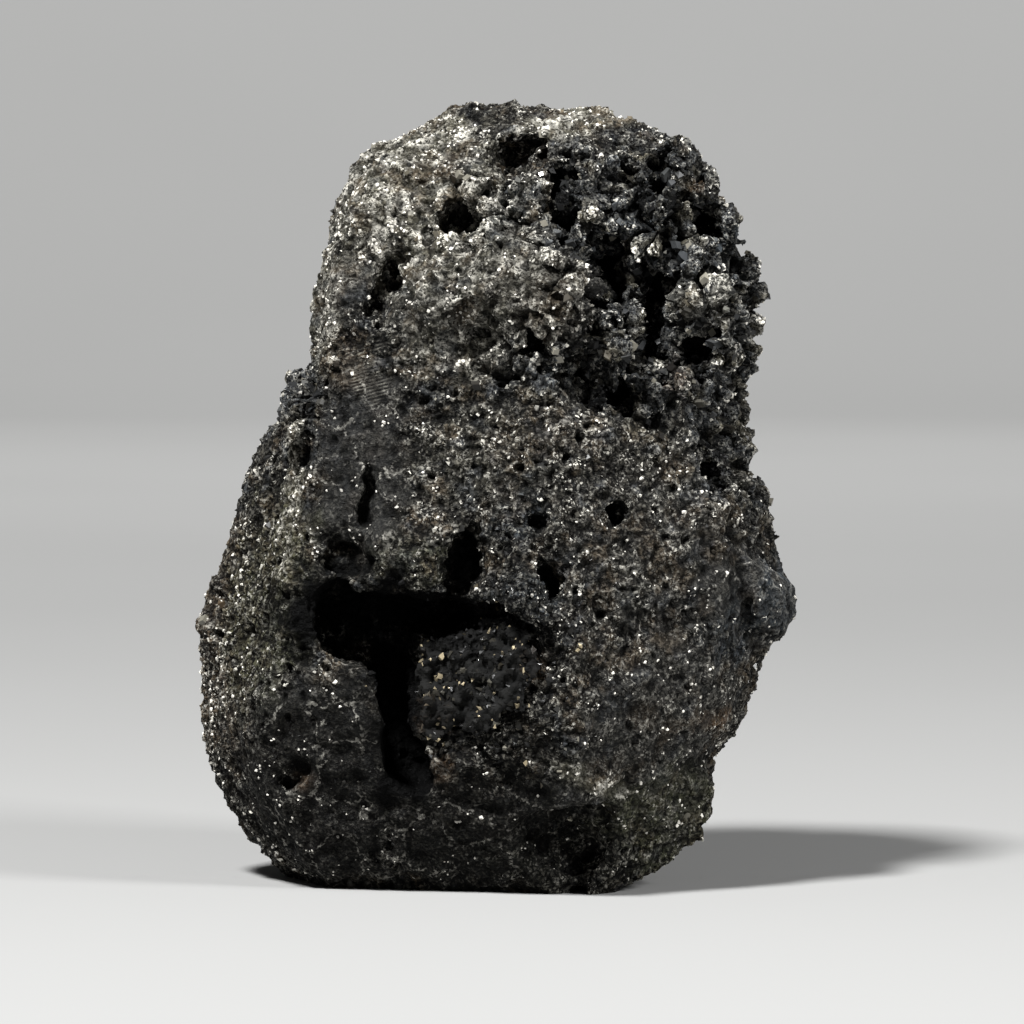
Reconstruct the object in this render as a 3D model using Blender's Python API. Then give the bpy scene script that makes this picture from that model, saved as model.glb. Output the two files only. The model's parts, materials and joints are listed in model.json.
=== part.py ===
"""A single crystal of black calcite, worn and corroded, standing upright on the flat break at its foot.

It is two solids. calcite_crystal is the crystal itself, with its faces, ledges, blocks, pits and the deep
hollow in its front. hollow_druse is the crust of small crystals that lines the slope inside that hollow.

X runs to the crystal's right, Y to its back and Z up, with the origin at the middle of the foot. Blender's
units are metres. The dimensions below are millimetres, and MM turns them into metres.
"""

import math
import random
from collections import namedtuple

import bmesh
import bpy
from mathutils import Matrix, Vector, noise
from mathutils.bvhtree import BVHTree

MM = 0.001
SEED = 11

# ---------------------------------------------------------------- the crystal's eight long faces
# At each height: how far the left edge, the left arris, the front arris and the right edge stand from the
# axis, and how far the front arris and the back arris stand forward and back.
Level = namedtuple("Level", "height left left_arris front_arris right front back")
LEVELS = (
    Level(-4.0, -27.4, -20.8, 7.4, 12.0, -17.2, 15.4),
    Level(0.0, -32.8, -25.0, 8.5, 15.6, -20.0, 19.0),
    Level(3.0, -37.2, -28.4, 9.5, 22.0, -22.4, 22.0),
    Level(8.0, -40.6, -31.8, 11.0, 29.6, -25.6, 25.0),
    Level(15.0, -44.6, -34.6, 12.2, 32.4, -29.2, 28.0),
    Level(19.5, -45.8, -35.4, 12.2, 33.8, -31.0, 29.2),
    Level(24.5, -46.4, -36.0, 11.8, 37.6, -32.4, 30.4),
    Level(31.0, -45.9, -35.2, 11.0, 40.4, -33.4, 31.0),
    Level(38.0, -44.8, -33.4, 10.6, 42.4, -33.0, 31.0),
    Level(46.0, -44.0, -32.2, 9.8, 44.0, -32.0, 30.2),
    Level(55.0, -41.2, -30.2, 9.4, 43.2, -30.6, 29.0),
    Level(66.0, -37.4, -28.4, 8.2, 40.0, -29.0, 27.4),
    Level(76.6, -32.4, -26.9, 7.0, 39.6, -27.2, 25.6),
    Level(78.8, -29.4, -26.6, 6.8, 40.3, -26.8, 25.2),
    Level(91.0, -28.2, -25.6, 5.6, 41.0, -24.4, 22.8),
    Level(97.0, -27.0, -24.2, 5.0, 37.4, -22.8, 20.8),
    Level(103.0, -26.0, -22.0, 4.6, 35.2, -20.0, 18.4),
    Level(108.5, -23.6, -18.4, 4.0, 33.4, -16.2, 15.4),
    Level(112.6, -19.4, -13.6, 3.4, 29.8, -12.2, 12.0),
    Level(115.8, -13.4, -8.6, 2.8, 22.6, -8.2, 8.6),
    Level(118.2, -7.4, -3.6, 2.2, 13.6, -3.4, 4.2),
)
# Each corner's setback as a share of the front or back depth at its height.
LEFT_EDGE_DEPTH = 0.10
LEFT_ARRIS_DEPTH = 0.62
RIGHT_ARRIS_REACH = 0.78
RIGHT_ARRIS_DEPTH = 0.66
RIGHT_EDGE_DEPTH = 0.14
BACK_RIGHT_REACH = 0.70
BACK_RIGHT_DEPTH = 0.72
BACK_ARRIS_REACH = 0.08
BACK_LEFT_REACH = 0.66
BACK_LEFT_DEPTH = 0.74

# ---------------------------------------------------------------- blocks grown onto the crystal
# Each is the convex block between the corners where its own flat faces meet.
FOOT_BLOCK = (
    (13.6, -26.0, 17.0), (31.6, -15.0, 18.5), (33.0, -11.0, 11.6), (29.6, -14.0, 5.4),
    (18.0, -18.0, 0.0), (13.6, -20.8, 0.0), (30.0, 10.0, 17.0), (27.0, 10.0, 6.0), (12.0, 0.0, 1.0),
)
NOSE = (
    (46.2, -6.5, 41.4), (45.6, -3.0, 45.0), (44.0, -12.0, 46.4), (38.0, -20.0, 43.0), (43.4, -12.0, 38.8),
    (40.2, -9.5, 34.6), (40.0, 8.0, 42.0), (40.0, 0.0, 54.0), (38.0, -17.0, 51.0),
)
LEFT_SHOULDER = (
    (-32.6, -9.0, 75.8), (-31.0, -15.0, 76.4), (-28.5, -18.5, 73.0), (-34.4, -12.0, 69.0), (-32.0, -17.0, 66.0),
    (-32.0, 1.0, 74.6), (-28.0, 3.0, 74.0), (-24.0, -8.0, 78.0),
)
HANGING_BLOCK = (
    (-21.6, -24.6, 47.2), (-13.0, -27.6, 46.4), (-4.8, -29.4, 46.8), (-3.6, -28.8, 51.0), (-9.0, -26.6, 58.0),
    (-20.5, -21.4, 56.5), (-21.8, -16.0, 47.2), (-5.0, -16.0, 46.8), (-6.0, -18.0, 58.0), (-20.0, -16.0, 56.0),
)
BLOCKS = {
    "foot block": FOOT_BLOCK,
    "nose": NOSE,
    "left shoulder": LEFT_SHOULDER,
    "hanging block": HANGING_BLOCK,
}
# Swellings of the front: the middle (x, z), the half width, how proud, the half height and the turn.
Swelling = namedtuple("Swelling", "x z half_width proud half_height turn_deg")
SWELLINGS = (
    Swelling(2.6, 92.4, 10.4, 2.8, 7.0, -6.0),
    Swelling(7.4, 85.8, 7.6, 2.4, 8.0, 10.0),
    Swelling(-5.4, 89.6, 6.4, 2.2, 8.4, 24.0),
    Swelling(-17.0, 101.4, 7.0, 1.4, 5.0, -28.0),
    Swelling(30.4, 87.4, 7.4, 2.6, 5.8, 8.0),
    Swelling(24.0, 108.0, 8.0, 1.6, 4.2, -24.0),
    Swelling(33.4, 99.0, 4.6, 2.0, 4.6, 0.0),
)
# Lumps on the skyline: where each stands (x, y, z) and its radius.
SKYLINE_LUMPS = (
    ((2.4, -1.0, 118.5), 2.2),
    ((-3.6, -2.0, 117.4), 1.9),
    ((8.8, -3.0, 116.6), 1.9),
    ((15.0, -2.0, 116.6), 2.1),
    ((20.5, -3.5, 114.0), 2.4),
    ((27.4, -4.0, 111.6), 2.6),
    ((38.0, -4.0, 95.2), 2.3),
    ((40.4, -3.5, 90.2), 1.9),
    ((-43.4, -1.0, 45.4), 1.0),
    ((-45.2, -2.0, 37.8), 0.9),
    ((40.0, -2.0, 78.6), 1.2),
)

# ---------------------------------------------------------------- what is eaten out of the crystal
# The mouth of the deep hollow, seen from the front: (x, z), clockwise from the top of its left lobe.
HOLLOW_MOUTH = (
    (-24.6, 50.4), (-22.0, 49.0), (-21.4, 46.8), (-12.0, 46.4), (-3.4, 46.2), (-1.6, 43.8), (-1.0, 41.0),
    (-11.0, 40.4), (-13.6, 39.0), (-13.8, 34.6), (-13.6, 29.0), (-13.8, 24.4), (-13.2, 22.0),
    (-10.3, 21.4), (-10.6, 19.2), (-8.9, 16.6), (-9.4, 14.6), (-12.6, 14.0), (-16.6, 17.6), (-16.8, 22.6),
    (-18.2, 28.4), (-20.2, 34.2), (-26.6, 35.8), (-28.4, 40.0), (-29.2, 43.4), (-28.2, 47.6),
)
HOLLOW_FRONT = -40.0
HOLLOW_END = -9.0
HOLLOW_END_SHARE = 0.84
# Recesses with a slanting floor, as the corners of that floor (x, y, z).
DRUSE_SLOPE = (
    (-15.4, -17.0, 43.6), (3.0, -23.6, 44.6), (9.6, -32.6, 40.0), (9.6, -33.2, 32.0), (3.0, -31.2, 24.4),
    (-5.0, -27.4, 21.0), (-13.0, -24.6, 21.4), (-15.4, -19.6, 28.0), (-9.0, -18.0, 38.0),
)
FOOT_UNDERCUT = (
    (0.6, -25.8, 11.6), (6.6, -22.0, 11.4), (15.4, -20.0, 14.4), (19.4, -20.4, 9.6), (18.4, -20.6, 3.6),
    (8.0, -21.6, 3.0), (3.6, -23.0, 6.8),
)
CREVICE_ABOVE_HOLLOW = (
    (-28.0, -19.6, 54.6), (-27.4, -18.6, 51.8), (-20.4, -19.6, 51.4), (-19.6, -20.4, 53.4), (-24.0, -18.4, 54.6),
)
RECESSES = (DRUSE_SLOPE, FOOT_UNDERCUT, CREVICE_ABOVE_HOLLOW)
RECESS_FRONT = -46.0
# The crumbled bowl at the upper right: its middle (x, z), radii, and turn.
Dish = namedtuple("Dish", "x z radius_x depth radius_z turn_deg")
BOWL = Dish(24.4, 92.0, 15.0, 5.4, 17.5, -12.0)
# Pits: centre (x, z) on the front, width, height, how deep, and the turn of the long side in degrees.
Pit = namedtuple("Pit", "x z width height depth turn_deg")
PITS = (
    Pit(1.6, 110.4, 6.2, 6.6, 7.0, -20.0),
    Pit(5.2, 112.6, 5.0, 2.6, 4.0, 10.0),
    Pit(-5.8, 100.9, 7.2, 5.2, 7.5, 18.0),
    Pit(-10.6, 98.4, 6.0, 2.6, 4.0, 38.0),
    Pit(-15.4, 93.2, 3.6, 8.4, 7.0, -18.0),
    Pit(-18.6, 87.6, 2.0, 5.0, 3.4, -30.0),
    Pit(-1.4, 105.4, 2.0, 6.0, 3.0, -40.0),
    Pit(9.0, 105.8, 2.8, 9.6, 5.6, 8.0),
    Pit(11.0, 100.4, 6.0, 2.4, 4.0, 20.0),
    Pit(16.4, 93.4, 6.2, 8.0, 8.0, 0.0),
    Pit(24.0, 89.4, 3.6, 12.0, 8.0, 5.0),
    Pit(-1.4, 86.8, 2.8, 7.6, 5.4, 14.0),
    Pit(5.6, 82.6, 5.0, 2.8, 3.6, -8.0),
    Pit(17.4, 75.6, 7.2, 5.4, 8.0, 0.0),
    Pit(12.2, 78.8, 5.4, 4.8, 6.0, -35.0),
    Pit(20.2, 82.0, 3.2, 8.4, 5.6, 6.0),
    Pit(14.8, 86.4, 3.0, 5.0, 4.4, 20.0),
    Pit(31.6, 100.4, 4.2, 4.8, 5.4, -25.0),
    Pit(34.2, 93.0, 3.0, 5.4, 4.4, 0.0),
    Pit(29.6, 82.4, 6.4, 2.2, 4.6, -6.0),
    Pit(34.6, 81.4, 2.6, 4.0, 3.6, 10.0),
    Pit(16.9, 57.8, 2.6, 3.6, 4.0, 0.0),
    Pit(32.2, 63.9, 3.4, 2.4, 3.6, -10.0),
    Pit(8.8, 47.0, 2.6, 7.0, 5.0, 22.0),
    Pit(5.6, 56.4, 5.0, 3.0, 3.0, 30.0),
    Pit(9.8, 36.6, 2.2, 4.6, 3.4, 10.0),
    Pit(-27.6, 57.6, 2.0, 4.0, 3.4, -14.0),
    Pit(-30.2, 18.8, 3.8, 3.0, 4.2, -12.0),
    Pit(-29.6, 66.0, 2.2, 4.6, 3.0, 0.0),
    Pit(-28.6, 73.0, 3.0, 3.4, 2.6, 0.0),
)
# Crystals left standing in the bowl and beside the hollow: (x, z), edge length, turn about the view, lean.
Rhomb = namedtuple("Rhomb", "x z edge turn_deg lean_deg")
RHOMBS = (
    Rhomb(27.4, 88.6, 4.8, 4.0, 12.0),
    Rhomb(31.0, 89.4, 4.4, -8.0, 4.0),
    Rhomb(30.6, 85.0, 4.6, 10.0, -10.0),
    Rhomb(34.8, 86.8, 4.0, -14.0, 16.0),
    Rhomb(26.8, 84.0, 3.8, 20.0, 0.0),
    Rhomb(28.2, 93.0, 3.6, 16.0, 20.0),
    Rhomb(19.8, 87.4, 4.6, 12.0, 20.0),
    Rhomb(16.4, 82.6, 4.2, 30.0, -14.0),
    Rhomb(4.0, 48.6, 3.8, 26.0, 12.0),
    Rhomb(1.6, 44.6, 3.8, -12.0, -6.0),
    Rhomb(6.2, 41.4, 3.6, 10.0, 16.0),
)
# Knobs heaped over the crumbled bowl and its rim: how many, and the smallest and largest radius.
KNOB_COUNT = 64
KNOB_RADIUS = (1.1, 2.7)
HOLE_COUNT = 26
HOLE_RADIUS = (0.9, 1.9)
# Pits and growth ledges on the back and sides: the way they face, in degrees round from the front, and the
# height of their middle.
BackPit = namedtuple("BackPit", "bearing_deg height width tall depth")
BACK_PITS = (
    BackPit(150.0, 84.0, 8.0, 5.0, 6.0),
    BackPit(166.0, 97.0, 5.0, 8.0, 6.0),
    BackPit(205.0, 60.0, 5.0, 10.0, 6.0),
    BackPit(196.0, 54.0, 6.0, 4.0, 5.0),
    BackPit(188.0, 38.0, 9.0, 4.0, 5.0),
    BackPit(140.0, 34.0, 4.0, 7.0, 5.0),
    BackPit(225.0, 88.0, 4.4, 3.4, 4.0),
    BackPit(172.0, 20.0, 5.0, 3.6, 4.0),
    BackPit(112.0, 66.0, 3.4, 6.0, 4.0),
    BackPit(248.0, 52.0, 3.4, 3.2, 3.4),
    BackPit(255.0, 30.0, 4.4, 3.2, 3.6),
    BackPit(180.0, 106.0, 4.0, 5.0, 5.0),
)
# A growth ledge stands proud along its upper edge and dies away downwards.
Ledge = namedtuple("Ledge", "bearing_deg height width tall proud turn_deg")
LEDGES = (
    Ledge(198.0, 74.0, 27.0, 30.0, 2.2, 14.0),
    Ledge(166.0, 52.0, 24.0, 26.0, 2.0, -18.0),
    Ledge(214.0, 36.0, 21.0, 24.0, 1.9, 22.0),
    Ledge(148.0, 88.0, 16.0, 18.0, 1.6, -12.0),
    Ledge(184.0, 26.0, 20.0, 16.0, 1.6, 6.0),
    Ledge(118.0, 44.0, 14.0, 20.0, 1.5, 16.0),
    Ledge(236.0, 66.0, 12.0, 20.0, 1.4, -10.0),
    Ledge(264.0, 36.0, 10.0, 18.0, 1.2, 12.0),
    Ledge(96.0, 86.0, 9.0, 14.0, 1.2, -8.0),
)

# ---------------------------------------------------------------- surface
SCULPT_VOXEL = 0.8
CRYSTAL_TRIANGLES = 8000
PLATE = 11.0
PLATE_RISE = 0.55
WAVE = 15.0
WAVE_RISE = 0.5
KNOB = 4.4
KNOB_RISE = 0.42
KNOB_RISE_CRUMBLED = 1.15
GRIT = 1.9
GRIT_RISE = 0.16
GRIT_RISE_CRUMBLED = 0.42
# Where the surface crumbles: the middle, the radius and how strongly.
CRUMBLED = (
    (Vector((24.0, -20.0, 92.0)), 24.0, 1.0),
    (Vector((6.0, -20.0, 106.0)), 12.0, 0.8),
    (Vector((6.0, -30.0, 48.0)), 11.0, 0.8),
    (Vector((10.0, -28.0, 78.0)), 11.0, 0.7),
    (Vector((-14.0, -24.0, 94.0)), 9.0, 0.5),
    (Vector((-31.0, -10.0, 66.0)), 14.0, 0.6),
    (Vector((-4.0, 30.0, 84.0)), 20.0, 0.6),
)

# ---------------------------------------------------------------- the druse on the hollow's slope
# Its outline seen from the front: (x, z).
DRUSE_OUTLINE = (
    (-12.2, 39.6), (-9.0, 41.4), (-5.4, 40.2), (-3.0, 41.6), (1.0, 42.4), (5.0, 40.4), (4.4, 38.4), (6.6, 36.4),
    (6.2, 33.8), (4.2, 31.4), (4.6, 28.6), (1.0, 28.2), (-0.6, 25.6), (-3.0, 24.4), (-6.4, 25.6), (-9.6, 23.6),
    (-12.0, 25.6), (-10.8, 29.4), (-12.4, 33.2), (-11.2, 36.4),
)
DRUSE_STEP = 0.55
DRUSE_GAP = 0.42
DRUSE_BED = 0.4
DRUSE_TIPS = 74
DRUSE_TIP_RISE = (1.6, 4.6)
DRUSE_TIP_SLOPE = 1.3
DRUSE_TRIANGLES = 1500
# Tips reach their full height only where the slope lies this deep behind the crystal's slanting face.
DRUSE_FULL_DEPTH = 5.0
FACE_AT_HOLLOW = -30.4
FACE_SLANT = -0.29

BLACK_CALCITE = ((0.040, 0.038, 0.034, 1.0), 0.62)
GREY_DRUSE = ((0.075, 0.068, 0.055, 1.0), 0.32)


# ---------------------------------------------------------------- making and joining shapes
def clear_scene():
    for old in list(bpy.data.objects):
        bpy.data.objects.remove(old)


def new_object(name, shape):
    """An object from a bmesh held in millimetres."""
    bmesh.ops.triangulate(shape, faces=shape.faces)
    bmesh.ops.recalc_face_normals(shape, faces=shape.faces)
    shape.transform(Matrix.Scale(MM, 4))
    mesh = bpy.data.meshes.new(name)
    shape.to_mesh(mesh)
    shape.free()
    made = bpy.data.objects.new(name, mesh)
    bpy.context.scene.collection.objects.link(made)
    return made


def apply_modifier(target, kind, **settings):
    """Adds a modifier, applies it, and leaves its result as the object's own mesh."""
    modifier = target.modifiers.new(kind.title(), kind)
    for key, value in settings.items():
        setattr(modifier, key, value)
    bpy.context.view_layer.update()
    graph = bpy.context.evaluated_depsgraph_get()
    result = bpy.data.meshes.new_from_object(target.evaluated_get(graph))
    target.modifiers.remove(modifier)
    old, target.data = target.data, result
    bpy.data.meshes.remove(old)


def combine(target, tools, operation):
    """Joins tools to target, or cuts them out of it, and removes them."""
    every = bmesh.new()
    for tool in tools:
        every.from_mesh(tool.data)
        bpy.data.objects.remove(tool)
    every.transform(Matrix.Scale(1.0 / MM, 4))
    together = new_object("together", every)
    apply_modifier(target, "BOOLEAN", object=together, operation=operation, solver="EXACT", use_self=True)
    bpy.data.objects.remove(together)


def convex_block(corners):
    shape = bmesh.new()
    points = [shape.verts.new(corner) for corner in corners]
    hull = bmesh.ops.convex_hull(shape, input=points)
    unused = {part for part in hull["geom_interior"] + hull["geom_unused"] if isinstance(part, bmesh.types.BMVert)}
    bmesh.ops.delete(shape, geom=list(unused), context="VERTS")
    return new_object("block", shape)


def rough_lump(place, seed, roughness=0.16):
    """A knobbly ball of radius 1, put in place by a matrix in millimetres."""
    shape = bmesh.new()
    bmesh.ops.create_icosphere(shape, subdivisions=2, radius=1.0)
    start = Vector((seed * 3.7, seed * 1.9, 0.0))
    for point in shape.verts:
        point.co *= 1.0 + roughness * 2.0 * noise.noise(point.co * 1.9 + start)
    bmesh.ops.transform(shape, matrix=place, verts=shape.verts)
    return new_object("lump", shape)


def cleavage_rhomb(place, edge):
    """A calcite cleavage rhomb: a cube squeezed along its long diagonal, put in place by a matrix."""
    shape = bmesh.new()
    bmesh.ops.create_cube(shape, size=edge)
    to_diagonal = Matrix.Rotation(math.radians(45.0), 4, "X")
    squeeze = Matrix.Diagonal((1.0, 1.12, 0.90, 1.0))
    bmesh.ops.transform(shape, matrix=place @ to_diagonal.inverted() @ squeeze @ to_diagonal, verts=shape.verts)
    return new_object("rhomb", shape)


# ---------------------------------------------------------------- finding places on the crystal
def surface_finder(target):
    """Returns a function giving the outside point met from a bearing, in millimetres, and the way it faces.

    A bearing of 0 looks from the front, and it goes round by the crystal's right.
    """
    shape = bmesh.new()
    shape.from_mesh(target.data)
    tree = BVHTree.FromBMesh(shape)
    shape.free()

    def find(bearing_deg, sideways, height):
        bearing = math.radians(bearing_deg)
        out = Vector((math.sin(bearing), -math.cos(bearing), 0.0))
        side = Vector((math.cos(bearing), math.sin(bearing), 0.0))
        start = (out * 200.0 + side * sideways + Vector((0.0, 0.0, height))) * MM
        point, normal = tree.ray_cast(start, -out)[:2]
        return (point / MM, normal) if point else (None, None)

    return find


def turned(turn_deg):
    return Matrix.Rotation(math.radians(turn_deg), 4, "Y")


def out_of(normal):
    """Turns a shape's -Y along a normal and keeps its Z as upright as it can."""
    return normal.to_track_quat("-Y", "Z").to_matrix().to_4x4()


def front_lump(find, x, z, radii, turn_deg, seed, roughness=0.16):
    """A rough lump whose middle lies on the front of the crystal, seen at (x, z)."""
    point, _ = find(0.0, x, z)
    place = Matrix.Translation(point) @ turned(turn_deg) @ Matrix.Diagonal((*radii, 1.0))
    return rough_lump(place, seed, roughness)


# ---------------------------------------------------------------- the crystal
def ring(level):
    """The crystal's eight corners at one height, anticlockwise from its left edge."""
    return (
        (level.left, LEFT_EDGE_DEPTH * level.back),
        (level.left_arris, LEFT_ARRIS_DEPTH * level.front),
        (level.front_arris, level.front),
        (RIGHT_ARRIS_REACH * level.right, RIGHT_ARRIS_DEPTH * level.front),
        (level.right, RIGHT_EDGE_DEPTH * level.front),
        (BACK_RIGHT_REACH * level.right, BACK_RIGHT_DEPTH * level.back),
        (BACK_ARRIS_REACH * level.right, level.back),
        (BACK_LEFT_REACH * level.left, BACK_LEFT_DEPTH * level.back),
    )


def faced_column():
    """The plain crystal: its rings of corners joined by flat faces."""
    shape = bmesh.new()
    rings = [[shape.verts.new((x, y, level.height)) for x, y in ring(level)] for level in LEVELS]
    for lower, upper in zip(rings, rings[1:]):
        for i, corner in enumerate(lower):
            following = (i + 1) % len(lower)
            shape.faces.new((corner, lower[following], upper[following], upper[i]))
    shape.faces.new(rings[0])
    shape.faces.new(rings[-1])
    return new_object("calcite_crystal", shape)


def growth_ledge(find, ledge):
    """A lozenge lying on the surface, proud along its upper edges and flush at its lower corner."""
    point, normal = find(ledge.bearing_deg, 0.0, ledge.height)
    place = Matrix.Translation(point) @ out_of(normal) @ turned(ledge.turn_deg)
    half_width, half_tall = ledge.width / 2, ledge.tall / 2
    outline = (
        (-half_width, -ledge.proud, 0.35 * half_tall),
        (-0.30 * half_width, -ledge.proud, half_tall),
        (0.75 * half_width, -ledge.proud, 0.70 * half_tall),
        (half_width, -0.7 * ledge.proud, -0.15 * half_tall),
        (0.20 * half_width, 0.2 * ledge.proud, -half_tall),
        (-0.70 * half_width, -0.2 * ledge.proud, -0.60 * half_tall),
    )
    sunk = [(x * 0.9, 5.0, z * 0.9) for x, _, z in outline]
    return convex_block([place @ Vector(corner) for corner in (*outline, *sunk)])


def growths(find):
    """The blocks, swellings, skyline lumps and growth ledges that stand out from the plain crystal."""
    tools = [convex_block(corners) for corners in BLOCKS.values()]
    for i, (centre, radius) in enumerate(SKYLINE_LUMPS):
        tools.append(rough_lump(Matrix.Translation(centre) @ Matrix.Scale(radius, 4), SEED + i, 0.3))
    for i, swelling in enumerate(SWELLINGS):
        radii = (swelling.half_width, swelling.proud, swelling.half_height)
        tools.append(front_lump(find, swelling.x, swelling.z, radii, swelling.turn_deg, SEED + i))
    tools += [growth_ledge(find, ledge) for ledge in LEDGES]
    return tools


def in_bowl(draw):
    """A place in the crumbled bowl or on its rim."""
    around, out = draw.uniform(0.0, math.tau), 1.15 * math.sqrt(draw.random())
    x, z = BOWL.radius_x * out * math.cos(around), BOWL.radius_z * out * math.sin(around)
    turn = math.radians(BOWL.turn_deg)
    return BOWL.x + x * math.cos(turn) + z * math.sin(turn), BOWL.z - x * math.sin(turn) + z * math.cos(turn)


def scattered(find, draw, count, radius):
    """Small lumps scattered over the crumbled bowl."""
    tools = []
    for i in range(count):
        point, _ = find(0.0, *in_bowl(draw))
        if point is None or point.y > 0.0:
            continue
        size = draw.uniform(*radius)
        stretch = Matrix.Diagonal((size, size * 1.3, size * draw.uniform(0.8, 1.3), 1.0))
        tools.append(rough_lump(Matrix.Translation(point) @ stretch, SEED + i, 0.24))
    return tools


def crumbs(find, draw):
    """What stands up in the crumbled places: knobs and small rhombs."""
    tools = scattered(find, draw, KNOB_COUNT, KNOB_RADIUS)
    for rhomb in RHOMBS:
        lean = Matrix.Rotation(math.radians(35.0 + rhomb.lean_deg), 4, "X")
        point, _ = find(0.0, rhomb.x, rhomb.z)
        tools.append(cleavage_rhomb(Matrix.Translation(point) @ turned(rhomb.turn_deg) @ lean, rhomb.edge))
    return tools


def recess(floor):
    """A convex cutter that reaches from a slanting floor out through the front."""
    return convex_block([*floor, *((x, RECESS_FRONT, z) for x, _, z in floor)])


def hollow():
    """The deep hollow, as a tapering plug with the outline of its mouth."""
    shape = bmesh.new()
    middle = sum((Vector((x, 0.0, z)) for x, z in HOLLOW_MOUTH), Vector()) / len(HOLLOW_MOUTH)
    mouth = [shape.verts.new((x, HOLLOW_FRONT, z)) for x, z in HOLLOW_MOUTH]
    end = []
    for x, z in HOLLOW_MOUTH:
        inner = middle.lerp(Vector((x, 0.0, z)), HOLLOW_END_SHARE)
        end.append(shape.verts.new((inner.x, HOLLOW_END, inner.z)))
    for i, corner in enumerate(mouth):
        following = (i + 1) % len(mouth)
        shape.faces.new((corner, mouth[following], end[following], end[i]))
    shape.faces.new(mouth)
    shape.faces.new(end)
    return new_object("hollow", shape)


def pits(find, draw):
    tools = scattered(find, draw, HOLE_COUNT, HOLE_RADIUS)
    for i, pit in enumerate(PITS):
        radii = (pit.width / 2, pit.depth, pit.height / 2)
        tools.append(front_lump(find, pit.x, pit.z, radii, pit.turn_deg, SEED + i))
    for i, pit in enumerate(BACK_PITS):
        point, normal = find(pit.bearing_deg, 0.0, pit.height)
        size = Matrix.Diagonal((pit.width / 2, pit.depth, pit.tall / 2, 1.0))
        tools.append(rough_lump(Matrix.Translation(point) @ out_of(normal) @ size, SEED - i))
    return tools


def crumbling(point):
    """How strongly the crystal crumbles at a point, from 0 to 1."""
    strongest = 0.0
    for centre, radius, share in CRUMBLED:
        away = (point - centre).length / radius
        strongest = max(strongest, share * max(0.0, min(1.0, 1.6 * (1.0 - away))))
    return strongest


def weathering(point):
    """How far the surface rises at a point: plates, waves, knobs and grit."""
    loose = crumbling(point)
    knob_rise = KNOB_RISE + (KNOB_RISE_CRUMBLED - KNOB_RISE) * loose
    grit_rise = GRIT_RISE + (GRIT_RISE_CRUMBLED - GRIT_RISE) * loose
    plate = noise.cell(noise.voronoi(point / PLATE)[1][0] * 91.7)
    nearest = noise.voronoi(point / KNOB)[0]
    rise = PLATE_RISE * (plate - 0.5)
    rise += WAVE_RISE * noise.noise(point / WAVE)
    rise += knob_rise * (nearest[1] - nearest[0] - 0.2)
    return rise + grit_rise * noise.noise(point / GRIT)


def weather(target):
    """Remakes the mesh evenly, then raises its points along their normals."""
    apply_modifier(target, "REMESH", mode="VOXEL", voxel_size=SCULPT_VOXEL * MM)
    mesh = target.data
    moved = [vertex.co + vertex.normal * weathering(vertex.co / MM) * MM for vertex in mesh.vertices]
    for vertex, place in zip(mesh.vertices, moved):
        vertex.co = place
    mesh.update()


def keep_largest(target):
    """Drops every piece but the largest."""
    shape = bmesh.new()
    shape.from_mesh(target.data)
    left, pieces = set(shape.verts), []
    while left:
        piece, edge = set(), [left.pop()]
        while edge:
            vertex = edge.pop()
            piece.add(vertex)
            near = {link.other_vert(vertex) for link in vertex.link_edges} & left
            left -= near
            edge.extend(near)
        pieces.append(piece)
    pieces.sort(key=len)
    for piece in pieces[:-1]:
        bmesh.ops.delete(shape, geom=list(piece), context="VERTS")
    shape.to_mesh(target.data)
    shape.free()


def thin_to(target, triangles):
    """Keeps about this many triangles, most of them where the surface is roughest."""
    target.data.calc_loop_triangles()
    share = triangles / len(target.data.loop_triangles)
    apply_modifier(target, "DECIMATE", ratio=min(1.0, share), use_collapse_triangulate=True)


def cut_foot_flat(target):
    """Cuts off all that is below the foot and closes it with one flat face."""
    shape = bmesh.new()
    shape.from_mesh(target.data)
    everything = shape.verts[:] + shape.edges[:] + shape.faces[:]
    cut = bmesh.ops.bisect_plane(shape, geom=everything, plane_co=(0, 0, 0), plane_no=(0, 0, -1), clear_outer=True)
    rim = [part for part in cut["geom_cut"] if isinstance(part, bmesh.types.BMEdge)]
    bmesh.ops.contextual_create(shape, geom=rim)
    bmesh.ops.recalc_face_normals(shape, faces=shape.faces)
    shape.to_mesh(target.data)
    shape.free()


def make_crystal():
    draw = random.Random(SEED)
    crystal = faced_column()
    combine(crystal, growths(surface_finder(crystal)), "UNION")
    find = surface_finder(crystal)
    bowl = front_lump(find, BOWL.x, BOWL.z, (BOWL.radius_x, BOWL.depth, BOWL.radius_z), BOWL.turn_deg, SEED, 0.1)
    combine(crystal, [bowl], "DIFFERENCE")
    combine(crystal, crumbs(surface_finder(crystal), draw), "UNION")
    combine(crystal, [*pits(surface_finder(crystal), draw), *map(recess, RECESSES), hollow()], "DIFFERENCE")
    weather(crystal)
    keep_largest(crystal)
    thin_to(crystal, CRYSTAL_TRIANGLES)
    cut_foot_flat(crystal)
    return crystal


# ---------------------------------------------------------------- the druse in the hollow
def inside(outline, x, z):
    """Whether a point lies inside an outline."""
    crossings = 0
    for (x0, z0), (x1, z1) in zip(outline, (*outline[1:], outline[0])):
        if (z0 > z) != (z1 > z) and x < x0 + (z - z0) * (x1 - x0) / (z1 - z0):
            crossings += 1
    return crossings % 2 == 1


def druse_tips(draw):
    """Three-sided crystal tips: where each stands, how far it rises and which way its faces look."""
    xs, zs = zip(*DRUSE_OUTLINE)
    tips = []
    while len(tips) < DRUSE_TIPS:
        x, z = draw.uniform(min(xs), max(xs)), draw.uniform(min(zs), max(zs))
        if inside(DRUSE_OUTLINE, x, z):
            tips.append((x, z, draw.uniform(*DRUSE_TIP_RISE), draw.uniform(0.0, math.tau)))
    return tips


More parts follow.
